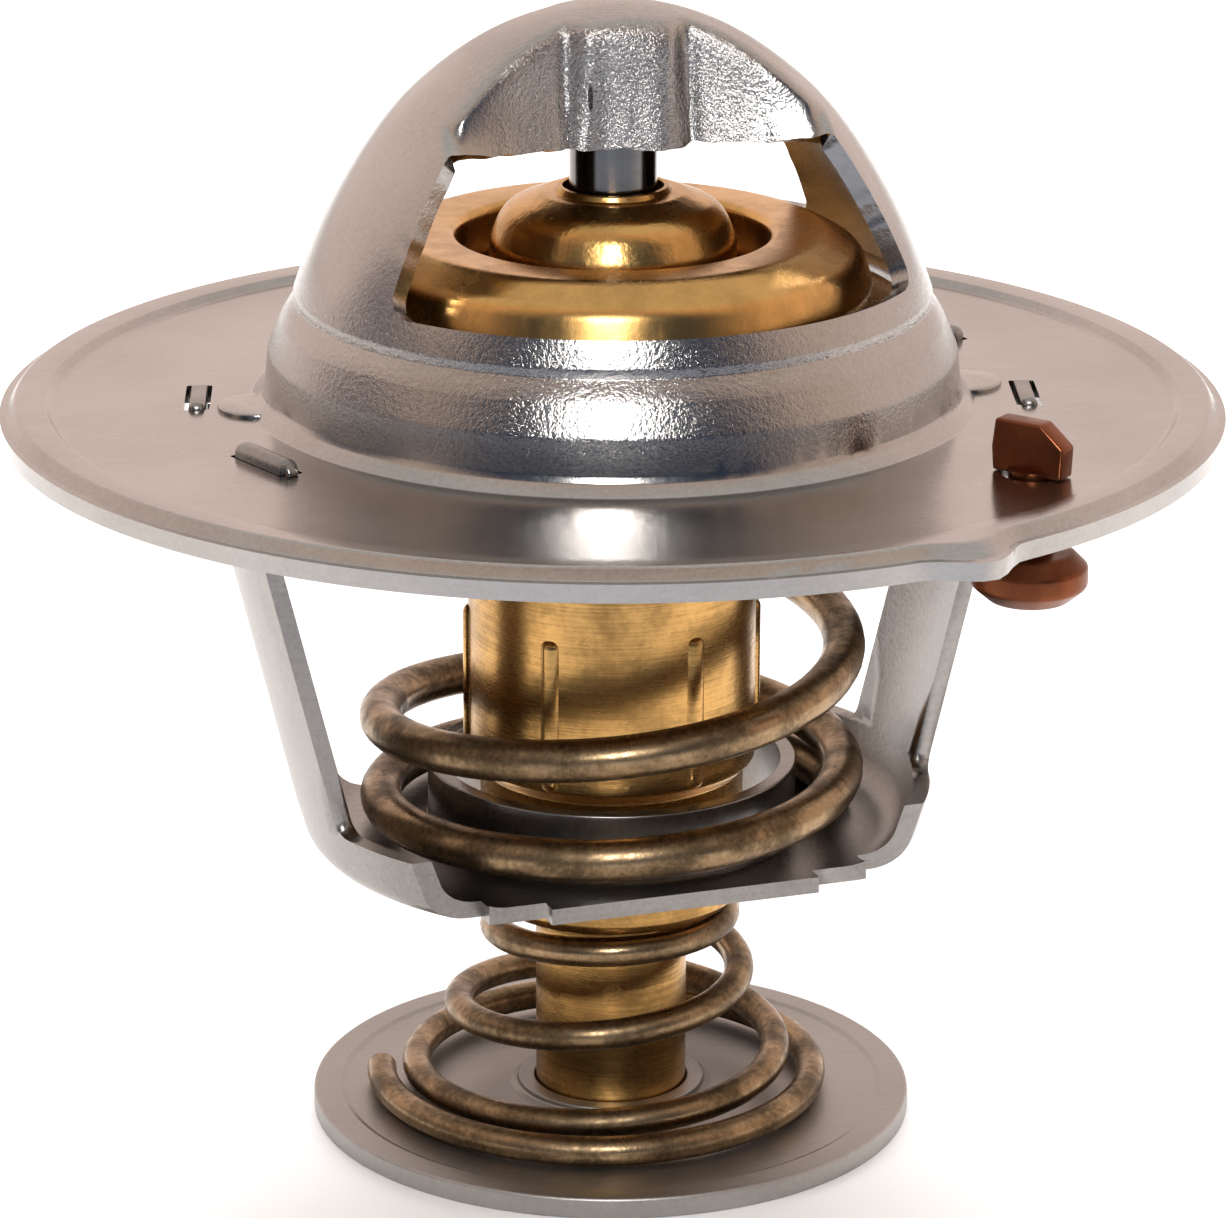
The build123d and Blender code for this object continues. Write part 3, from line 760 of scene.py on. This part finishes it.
def strap_places():
    """Places of the strap's vertices above the flange: rows along it, columns across it."""
    lengths = np.concatenate(([0], np.cumsum(np.hypot(np.diff(DOME_RADII), np.diff(DOME_LEVELS)))))
    along = np.linspace(-1, 1, STRAP_ROWS + 1)[:, None]
    across = np.linspace(-1, 1, STRAP_CELLS + 1)[None, :]
    length = np.abs(along) * np.interp(SILL_RADIUS, DOME_RADII, lengths)
    radius = np.interp(length, lengths, DOME_RADII)
    level = np.interp(length, lengths, DOME_LEVELS)
    legs = smooth((radius - LEG_START) / LEG_BLEND)
    edge, ridge, half = strap_widths(radius, level, legs)
    # Inner half of the columns: the ridge. Outer half: the turned-down wall of the crown.
    share = np.abs(across)
    top = np.minimum(share / 0.5, 1.0)
    side = np.clip((share - 0.5) / 0.5, 0.0, 1.0)
    width = ridge * top + (edge - ridge) * side ** (1 + 0.6 * (1 - legs))
    width = width + pocket_relief(radius * np.sign(along) * np.sign(across)) * side ** 0.5
    # Towards the sill the legs follow the round of the neck
    round_share = smooth((radius - ROUND_START) / (SILL_RADIUS - ROUND_START))
    width = width * (1 - round_share) + radius * np.sin(half * share) * round_share
    reach = radius * (1 - round_share) + radius * np.cos(half * share) * round_share
    surface = dome_level(np.hypot(reach, width))
    end_level = LIP_LEVEL + LIP_RISE * (np.minimum(radius, LIP_RADIUS) / LIP_RADIUS) ** 2
    drop = np.maximum(dome_level(np.hypot(reach, edge)) - end_level, 0)
    height = surface - drop * (1 - smooth((radius - WALL_END) / WALL_BLEND)) * side
    width, height = softened(width, height, legs)
    torn = lip_wobble(radius * np.sign(along) + 3.7 * np.sign(across)) * side ** 3
    height = height + torn * (1 - legs)
    width = width + 0.5 * torn * legs * smooth((level - WINDOW_SILL - 0.6) / 1.2)
    return reach * np.sign(along), width * np.sign(across), height


def pocket_relief(place):
    """Bulge of the pocket's wall on one side of its middle, hollow on the other and a crease at each end."""
    bulge = 0.3 * smooth(1 - np.abs(place + 1.5) / 1.6) - 0.28 * smooth(1 - np.abs(place - 1.5) / 1.5)
    crease = 0.32 * smooth(1 - np.abs(np.abs(place) - 3.45) / 0.55)
    return bulge - crease


def lip_wobble(place):
    """Waver of a torn edge along the bridge."""
    return 0.045 * (np.sin(1.3 * place) + np.sin(2.9 * place + 1.1) + 0.6 * np.sin(4.7 * place + 2.0))


def softened(width, height, legs):
    """Rounds the bends across the strap, and leaves its legs and edges as they are."""
    hold = (1 - legs) * np.ones_like(width)
    signed = width * np.sign(np.linspace(-1, 1, width.shape[1]))[None, :]
    for _ in range(SOFTENING_ROUNDS):
        for values in (signed, height):
            middle = (values[:, :-2] + values[:, 2:]) / 2
            values[:, 1:-1] += 0.5 * hold[:, 1:-1] * (middle - values[:, 1:-1])
    for values in (signed, height):
        middle = (values[:-2] + values[2:]) / 2
        values[1:-1] += 0.5 * hold[1:-1] * (middle - values[1:-1])
    return np.abs(signed), height


def flange_shell():
    """Outer skin of the flange, the neck and the bridge."""
    path = rounded(RIM_PATH, closed=False, segments=4)
    dome = [place for place in zip(DOME_RADII, DOME_LEVELS) if DOME_START < place[1] < WINDOW_SILL - 0.1]
    path += dome[::-1][::6] + [(SILL_RADIUS, WINDOW_SILL)]
    form = spun([(radius, above(level)) for radius, level in path], RING_STEPS, closed=False)
    for corner in form.verts:
        radius = math.hypot(corner.co.x, corner.co.y) / MM
        turn = math.degrees(math.atan2(corner.co.y, corner.co.x)) - NOSE_ANGLE
        bulge = float(smooth(1 - abs(turn) / NOSE_HALF_ANGLE)) * float(smooth((radius - NOSE_ROOT) / NOSE_BLEND))
        corner.co.x *= 1 + NOSE_REACH * bulge / radius
        corner.co.y *= 1 + NOSE_REACH * bulge / radius
    strap = bmesh.ops.create_grid(form, x_segments=STRAP_ROWS, y_segments=STRAP_CELLS, size=1.0)["verts"]
    across, deep, up = strap_places()
    for corner in strap:
        row = round((corner.co.x + 1) / 2 * STRAP_ROWS)
        column = round((corner.co.y + 1) / 2 * STRAP_CELLS)
        corner.co = Vector((across[row, column], deep[row, column], above(up[row, column]))) * MM
    bmesh.ops.remove_doubles(form, verts=form.verts, dist=SEAM * MM)
    bmesh.ops.recalc_face_normals(form, faces=form.faces)
    return form


def neck_pad(angle):
    """Low half-round pad at the foot of the neck."""
    form = bmesh.new()
    bmesh.ops.create_cone(
        form, cap_ends=True, segments=64, radius1=PAD_RADIUS, radius2=PAD_RADIUS, depth=SHEET / 2 + PAD_HEIGHT,
    )
    rim = [edge for edge in form.edges if all(corner.co.z > 0 for corner in edge.verts)]
    bevelled(form, rim, 0.15)
    middle = polar(PAD_REACH, angle, above((PAD_HEIGHT - SHEET / 2) / 2))
    placed(form, Matrix.Translation(middle) @ turned(angle))
    halved = bmesh.ops.bisect_plane(
        form, geom=form.verts[:] + form.edges[:] + form.faces[:], plane_co=polar(PAD_REACH - 0.5, angle) * MM,
        plane_no=-polar(1.0, angle), clear_outer=True,
    )["geom_cut"]
    bmesh.ops.holes_fill(form, edges=[item for item in halved if isinstance(item, bmesh.types.BMEdge)])
    bmesh.ops.recalc_face_normals(form, faces=form.faces)
    return form


def prong_place(angle, level):
    """Place of a prong: its length runs round the flange."""
    return Matrix.Translation(polar(PRONG_RADIUS, angle, above(level))) @ turned(angle)


def slot_cutters():
    """Slots for the four prongs and the hole for the vent pin."""
    cutters = []
    for half_turn in (0, 180):
        for lean in (PRONG_ANGLE, -PRONG_ANGLE):
            place = prong_place(FRAME_ANGLE + half_turn + lean, -SHEET / 2)
            cutters.append(block((PRONG_WIDTH, PRONG_LENGTH + PRONG_PLAY, 4 * SHEET), place, 0.15, 2))
    hole = bmesh.new()
    bmesh.ops.create_cone(hole, cap_ends=True, segments=48, radius1=PIN_HOLE, radius2=PIN_HOLE, depth=4 * SHEET)
    placed(hole, Matrix.Translation(polar(PIN_RADIUS, PIN_ANGLE, above(-SHEET / 2))))
    return cutters + [hole]


def make_flange():
    """Flange and bridge as one pressed sheet."""
    made = linked("stamped_flange", flange_shell())
    skin = made.modifiers.new("sheet", "SOLIDIFY")
    skin.thickness = size_of("flange_sheet") * MM
    skin.offset = -1
    skin.use_even_offset = True
    break_edges(made, size_of("sheared_edge"), SHARP_EDGE_ANGLE)
    applied(made)
    cut(made, joined(slot_cutters()))
    cut(made, joined([neck_pad(PAD_ANGLE), neck_pad(PAD_ANGLE + 180)]), "UNION")
    swept(made)
    return dressed(made, "housing", "steel_flange", "flange_bridge", crease=40)


# Stirrup frame
def tongues():
    """Tops of the four prongs: two stand proud and are crimped, two are staked flush."""
    forms = []
    for half_turn in (0, 180):
        proud = prong_place(FRAME_ANGLE + half_turn + PRONG_ANGLE, -0.2)
        forms.append(block((1.3, PRONG_LENGTH + 0.3, 1.9), proud, 0.6, 6))
        spike = Matrix.Translation((0.1, PRONG_LENGTH / 2 - 0.1, 0.3)) @ turned(38, "X")
        forms.append(block((0.7, 1.1, 0.8), proud @ spike, 0.16, 2))
        flush = prong_place(FRAME_ANGLE + half_turn - PRONG_ANGLE, -0.5)
        forms.append(block((0.9, PRONG_LENGTH, 1.2), flush, 0.12, 2))
        stake = Matrix.Translation((0.0, (0.5 if half_turn else -0.5) * PRONG_LENGTH, 0.5))
        forms.append(block((0.9, 0.8, 0.8), flush @ stake, 0.36, 4))
    return forms


def make_frame():
    """Stirrup frame with its collar and its sheared edges broken."""
    form = bmesh.new()
    form.from_mesh(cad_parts["spring_frame"].data)
    bmesh.ops.remove_doubles(form, verts=form.verts, dist=CAD_MERGED)
    bmesh.ops.dissolve_limit(form, angle_limit=math.radians(FLAT_ANGLE), verts=form.verts, edges=form.edges)
    made = linked("pressed_frame", form)
    cut(made, drum(*COLLAR_CUT))
    cut(made, drum(*PRONG_TOP_CUT))
    cut(made, spun(rounded(lifted(COLLAR_OUTLINE), segments=8), 144), "UNION")
    break_edges(made, size_of("frame_edge"), 40)
    swept(applied(made), 3)
    tops = joined(tongues())
    tops.from_mesh(made.data)
    tops.to_mesh(made.data)
    tops.free()
    return dressed(made, "housing", "steel_frame", "spring_frame", crease=35)


# Turned and pressed pieces
def make_valve():
    """Channel ring that closes the neck."""
    outline = walled(rounded(lifted(VALVE_PATH), closed=False, segments=8), VALVE_SHEET)
    return dressed(linked("pressed_valve", spun(outline)), "capsule", "brass_valve", "valve_dish")


def make_head():
    """Head that guides the piston."""
    made = linked("turned_head", spun(rounded(lifted(HEAD_OUTLINE), segments=8)))
    return dressed(made, "capsule", "brass_head", "guide_head")


def make_cup():
    """Capsule with its thin ribs."""
    forms = [spun(rounded(lifted(CUP_OUTLINE)))]
    length = RIB_TOP - CUP_SHOULDER
    for index in range(RIB_COUNT):
        angle = RIB_ANGLE + index * 360 / RIB_COUNT
        place = Matrix.Translation(polar(RIB_REACH, angle, above(CUP_SHOULDER + length / 2))) @ turned(angle)
        forms.append(block((RIB_DEPTH, RIB_WIDTH, length), place, 0.5, 5))
    return dressed(linked("drawn_cup", joined(forms)), "capsule", "brass_cup", "capsule_cup")


def make_stem():
    """Stem on which the bypass disc slides."""
    made = linked("turned_stem", spun(rounded(lifted(STEM_OUTLINE))))
    return dressed(made, "capsule", "brass_stem", "bypass_stem")


def make_piston():
    """Ground piston between the crown and the capsule."""
    made = linked("ground_piston", spun(rounded(lifted(PISTON_OUTLINE)), 96))
    return dressed(made, "housing", "steel_piston", "piston")


def make_disc():
    """Bypass disc with its raised rim and hub."""
    made = linked("stamped_disc", spun(rounded(DISC_OUTLINE)))
    return dressed(made, "bypass", "steel_disc", "bypass_disc")


# Springs
def main_line(wire):
    """Middle line of the main spring, from the frame's foot to the valve."""
    low = above(FOOT_LEVEL) + wire / 2
    rise = above(VALVE_TOP - VALVE_SHEET - MAIN_PLAY) - wire / 2 - low
    ramps = MAIN_START_RAMP + MAIN_END_RAMP
    turns = ramps + (rise - MAIN_PITCH * ramps / 2) / MAIN_PITCH
    steps = round(turns * COIL_STEPS)
    points = []
    level = low
    for index in range(steps + 1):
        turn = turns * index / steps
        taper = float(smooth((turn - MAIN_TAPER[0]) / MAIN_TAPER[1]))
        radius = MAIN_RADII[0] + (MAIN_RADII[1] - MAIN_RADII[0]) * taper
        lift = MAIN_LIFT[0] * float(smooth(1 - abs(turn - MAIN_LIFT[1]) / MAIN_LIFT[2]))
        points.append(polar(radius, MAIN_START_ANGLE + 360 * turn, level + lift))
        middle = turn + turns / steps / 2
        slope = min(middle / MAIN_START_RAMP, 1.0, max(turns - middle, 0.0) / MAIN_END_RAMP)
        level += MAIN_PITCH * slope * turns / steps
    return points


def bypass_line(wire):
    """Middle line of the bypass spring, from the disc to the cup's foot."""
    turns = BYPASS_FLAT + BYPASS_RAMP + BYPASS_FREE + BYPASS_END_RAMP + BYPASS_END
    steps = round(turns * COIL_STEPS)
    points = []
    level = DISC_SEAT + wire / 2
    for index in range(steps + 1):
        turn = turns * index / steps
        share = min(turn / BYPASS_TAPER, 1.0)
        taper = 0.7 * share + 0.3 * float(smooth(share))
        radius = BYPASS_RADII[0] + (BYPASS_RADII[1] - BYPASS_RADII[0]) * taper
        shift = polar(BYPASS_OFFSET * (1 - turn / turns), BYPASS_START_ANGLE)
        points.append(shift + polar(radius, BYPASS_START_ANGLE + 360 * turn, level))
        middle = turn + turns / steps / 2
        fall = (turns - BYPASS_END - middle) / BYPASS_END_RAMP
        least = BYPASS_LEAST_RISE if middle < BYPASS_FLAT + BYPASS_RAMP else 0.0
        level += BYPASS_PITCH * max(min((middle - BYPASS_FLAT) / BYPASS_RAMP, 1.0, fall), least) * turns / steps
    return points


def make_springs():
    """Both springs."""
    wire = size_of("main_wire")
    main_coil = coil(main_line(wire), wire, "wound_main_spring")
    dressed(main_coil, "housing", "wire_main", "main_spring", crease=50)
    above(FOOT_LEVEL) * MM
    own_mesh(main_coil)
    wire = size_of("bypass_wire")
    bypass_coil = coil(bypass_line(wire), wire, "wound_bypass_spring")
    dressed(bypass_coil, "capsule", "wire_bypass", "bypass_spring", crease=50)
    above(CUP_FOOT) * MM
    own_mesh(bypass_coil)


# Vent pin
def make_pin():
    """Tab above the flange and button below it, riveted into one."""
    place = Matrix.Translation(polar(PIN_RADIUS, PIN_ANGLE, flange_level)) @ turned(PIN_ANGLE)
    button = spun(rounded(BUTTON_OUTLINE), 64)
    placed(button, place @ Matrix.Scale(1 / MM, 4))
    tab = bmesh.new()
    face = tab.faces.new([tab.verts.new((across, -TAB_SHEET / 2, up)) for across, up in TAB_CORNERS])
    pushed = bmesh.ops.extrude_face_region(tab, geom=[face])["geom"]
    moved = [item for item in pushed if isinstance(item, bmesh.types.BMVert)]
    bmesh.ops.translate(tab, vec=(0, TAB_SHEET, 0), verts=moved)
    bmesh.ops.recalc_face_normals(tab, faces=tab.faces)
    bevelled(tab, tab.edges[:], 0.16)
    placed(tab, place)
    return dressed(linked("riveted_pin", joined([button, tab])), "vent_pin", "copper_pin", "jiggle_pin")


# Pieces that keep their CAD shape
KEPT_FINISHES = {
    "boot_washer": "steel_small",
    "stem_clip": "steel_small",
    "rubber_boot": "rubber_boot",
    "wax_charge": "wax_charge",
}


def finish_kept():
    """Finishes of the pieces that keep their CAD shape."""
    for node, name in KEPT_FINISHES.items():
        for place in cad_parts[node].material_slots:
            place.material = finish_of(name)


# Stage
def set_floor():
    """Pale floor with painted shade that turns it darker and cooler towards the camera."""
    form = bmesh.new()
    bmesh.ops.create_grid(form, x_segments=2, y_segments=2, size=FLOOR_HALF_SIZE * MM)
    floor = linked("floor", form)
    finish = Finish("floor_paper")
    colour = bpy.context.scene.thermostat_colours.floor
    clouds = finish.noise(40.0, 2.0)
    ahead, _ = ahead_and_beside(finish.axis("X"), finish.axis("Y"))
    tone = finish.mix(clouds, toned(colour, 1.0), toned(colour, 0.97))
    # Painted shade: the floor turns darker and cooler towards the camera
    cool = tuple(part * fall for part, fall in zip(colour, FLOOR_SHADE)) + (1.0,)
    tone = finish.mix(ahead.step(25.0, 180.0), tone, cool)
    floor.data.materials.append(finish.shaded(tone, 0.8, finish.bumped(clouds, 0.01), 0.0))


def set_lights():
    """Soft panels and the studio's walls."""
    for name, place, size, power, mirrored in LIGHTS:
        light = bpy.data.lights.new(name, "AREA")
        light.shape = "RECTANGLE"
        light.size = size[0] * MM
        light.size_y = size[1] * MM
        light.energy = power
        lamp = bpy.data.objects.new(name, light)
        lamp.visible_glossy = mirrored
        lamp.location = Vector(place) * MM
        lamp.rotation_euler = (Vector(LIGHT_AIM) * MM - lamp.location).to_track_quat("-Z", "Y").to_euler()
        bpy.context.scene.collection.objects.link(lamp)
    bpy.context.scene.world = Sky("studio").world
    bpy.context.scene.view_settings.view_transform = "Standard"


def set_camera():
    """Camera a little above the flange."""
    lens = bpy.data.cameras.new("view")
    lens.lens = CAMERA_LENS
    lens.sensor_width = 36.0
    lens.sensor_fit = "HORIZONTAL"
    lens.shift_x = CAMERA_SHIFT
    lens.clip_start = 0.01
    camera = bpy.data.objects.new("view", lens)
    camera.location = Vector(CAMERA_PLACE) * MM
    turn = math.radians(CAMERA_AZIMUTH)
    pitch = math.radians(CAMERA_PITCH)
    ahead = Vector((math.cos(turn) * math.cos(pitch), math.sin(turn) * math.cos(pitch), -math.sin(pitch)))
    aimed = ahead.to_track_quat("-Z", "Y").to_matrix() @ Matrix.Rotation(math.radians(CAMERA_ROLL), 3, "Z")
    camera.rotation_euler = aimed.to_euler()
    bpy.context.scene.collection.objects.link(camera)
    bpy.context.scene.camera = camera


# Add-on parts
class ThermostatSizes(bpy.types.PropertyGroup):
    """Sizes of the sheet and the wires."""

    flange_sheet: bpy.props.FloatProperty(
        name="Flange sheet", description="Thickness of the sheet of the flange and bridge",
        default=SHEET * MM, min=0.0005, max=0.0015, precision=5, unit="LENGTH",
    )
    sheared_edge: bpy.props.FloatProperty(
        name="Sheared edge", description="Width of the break along the sheared edges of the flange",
        default=0.00014, min=0.00005, max=0.0003, precision=5, unit="LENGTH",
    )
    frame_edge: bpy.props.FloatProperty(
        name="Frame edge", description="Width of the break along the edges of the stirrup frame",
        default=0.0001, min=0.00005, max=0.0002, precision=5, unit="LENGTH",
    )
    main_wire: bpy.props.FloatProperty(
        name="Main wire", description="Diameter of the wire of the main spring",
        default=0.00235, min=0.0015, max=0.003, precision=5, unit="LENGTH",
    )
    bypass_wire: bpy.props.FloatProperty(
        name="Bypass wire", description="Diameter of the wire of the bypass spring",
        default=0.00165, min=0.001, max=0.0022, precision=5, unit="LENGTH",
    )


class ThermostatColours(bpy.types.PropertyGroup):
    """Colours of the finishes."""

    steel: bpy.props.FloatVectorProperty(
        name="Steel", description="Colour of the pressed steel", default=(0.45, 0.428, 0.405), subtype="COLOR",
    )
    brass: bpy.props.FloatVectorProperty(
        name="Brass", description="Colour of the brass", default=(0.65, 0.375, 0.125), subtype="COLOR",
    )
    wire: bpy.props.FloatVectorProperty(
        name="Wire", description="Colour of the spring wire", default=(0.36, 0.245, 0.135), subtype="COLOR",
    )
    copper: bpy.props.FloatVectorProperty(
        name="Copper", description="Colour of the vent pin", default=(0.21, 0.068, 0.03), subtype="COLOR",
    )
    rubber: bpy.props.FloatVectorProperty(
        name="Rubber", description="Colour of the boot", default=(0.02, 0.02, 0.02), subtype="COLOR",
    )
    wax: bpy.props.FloatVectorProperty(
        name="Wax", description="Colour of the wax", default=(0.48, 0.33, 0.16), subtype="COLOR",
    )
    floor: bpy.props.FloatVectorProperty(
        name="Floor", description="Colour of the floor", default=(0.84, 0.84, 0.84), subtype="COLOR",
    )


class BuildFlange(bpy.types.Operator):
    """Presses the flange with its neck and bridge"""

    bl_idname = "thermostat.flange"
    bl_label = "Flange and bridge"

    def execute(self, context):
        make_flange()
        return {"FINISHED"}


class BuildFrame(bpy.types.Operator):
    """Presses the stirrup frame"""

    bl_idname = "thermostat.frame"
    bl_label = "Stirrup frame"

    def execute(self, context):
        make_frame()
        return {"FINISHED"}


class BuildCapsule(bpy.types.Operator):
    """Presses the valve, and turns the head, the cup, the stem and the piston"""

    bl_idname = "thermostat.capsule"
    bl_label = "Valve and capsule"

    def execute(self, context):
        make_valve()
        make_head()
        make_cup()
        make_stem()
        make_piston()
        return {"FINISHED"}


class BuildBypass(bpy.types.Operator):
    """Stamps the bypass disc"""

    bl_idname = "thermostat.bypass"
    bl_label = "Bypass disc"

    def execute(self, context):
        make_disc()
        return {"FINISHED"}


class BuildSprings(bpy.types.Operator):
    """Winds both springs"""

    bl_idname = "thermostat.springs"
    bl_label = "Springs"

    def execute(self, context):
        make_springs()
        return {"FINISHED"}


class BuildPin(bpy.types.Operator):
    """Makes the vent pin"""

    bl_idname = "thermostat.pin"
    bl_label = "Vent pin"

    def execute(self, context):
        make_pin()
        return {"FINISHED"}


class FinishKept(bpy.types.Operator):
    """Gives the inner pieces their finishes"""

    bl_idname = "thermostat.kept"
    bl_label = "Inner pieces"

    def execute(self, context):
        finish_kept()
        return {"FINISHED"}


class BuildStage(bpy.types.Operator):
    """Sets up the floor, the lights and the camera"""

    bl_idname = "thermostat.stage"
    bl_label = "Stage"

    def execute(self, context):
        set_floor()
        set_lights()
        set_camera()
        return {"FINISHED"}


OPERATORS = (BuildFlange, BuildFrame, BuildCapsule, BuildBypass, BuildSprings, BuildPin, FinishKept, BuildStage)


class ThermostatPanel(bpy.types.Panel):
    """Lists the sizes, the colours and the pieces of the thermostat"""

    bl_idname = "VIEW3D_PT_thermostat"
    bl_label = "Thermostat"
    bl_space_type = "VIEW_3D"
    bl_region_type = "UI"
    bl_category = "Thermostat"

    def draw(self, context):
        for group in (context.scene.thermostat_sizes, context.scene.thermostat_colours):
            for name in group.bl_rna.properties.keys():
                if name not in ("rna_type", "name"):
                    self.layout.prop(group, name)
        for operator in OPERATORS:
            self.layout.operator(operator.bl_idname)


CLASSES = (ThermostatSizes, ThermostatColours) + OPERATORS + (ThermostatPanel,)


def register():
    for kind in CLASSES:
        bpy.utils.register_class(kind)
    bpy.types.Scene.thermostat_sizes = bpy.props.PointerProperty(type=ThermostatSizes)
    bpy.types.Scene.thermostat_colours = bpy.props.PointerProperty(type=ThermostatColours)


def unregister():
    del bpy.types.Scene.thermostat_colours
    del bpy.types.Scene.thermostat_sizes
    for kind in reversed(CLASSES):
        bpy.utils.unregister_class(kind)


def main():
    """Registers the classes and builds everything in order."""
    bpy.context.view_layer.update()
    register()
    bpy.ops.thermostat.flange()
    bpy.ops.thermostat.frame()
    bpy.ops.thermostat.capsule()
    bpy.ops.thermostat.bypass()
    bpy.ops.thermostat.springs()
    bpy.ops.thermostat.pin()
    bpy.ops.thermostat.kept()
    bpy.ops.thermostat.stage()
    bpy.context.view_layer.update()


if __name__ == "__main__":
    main()
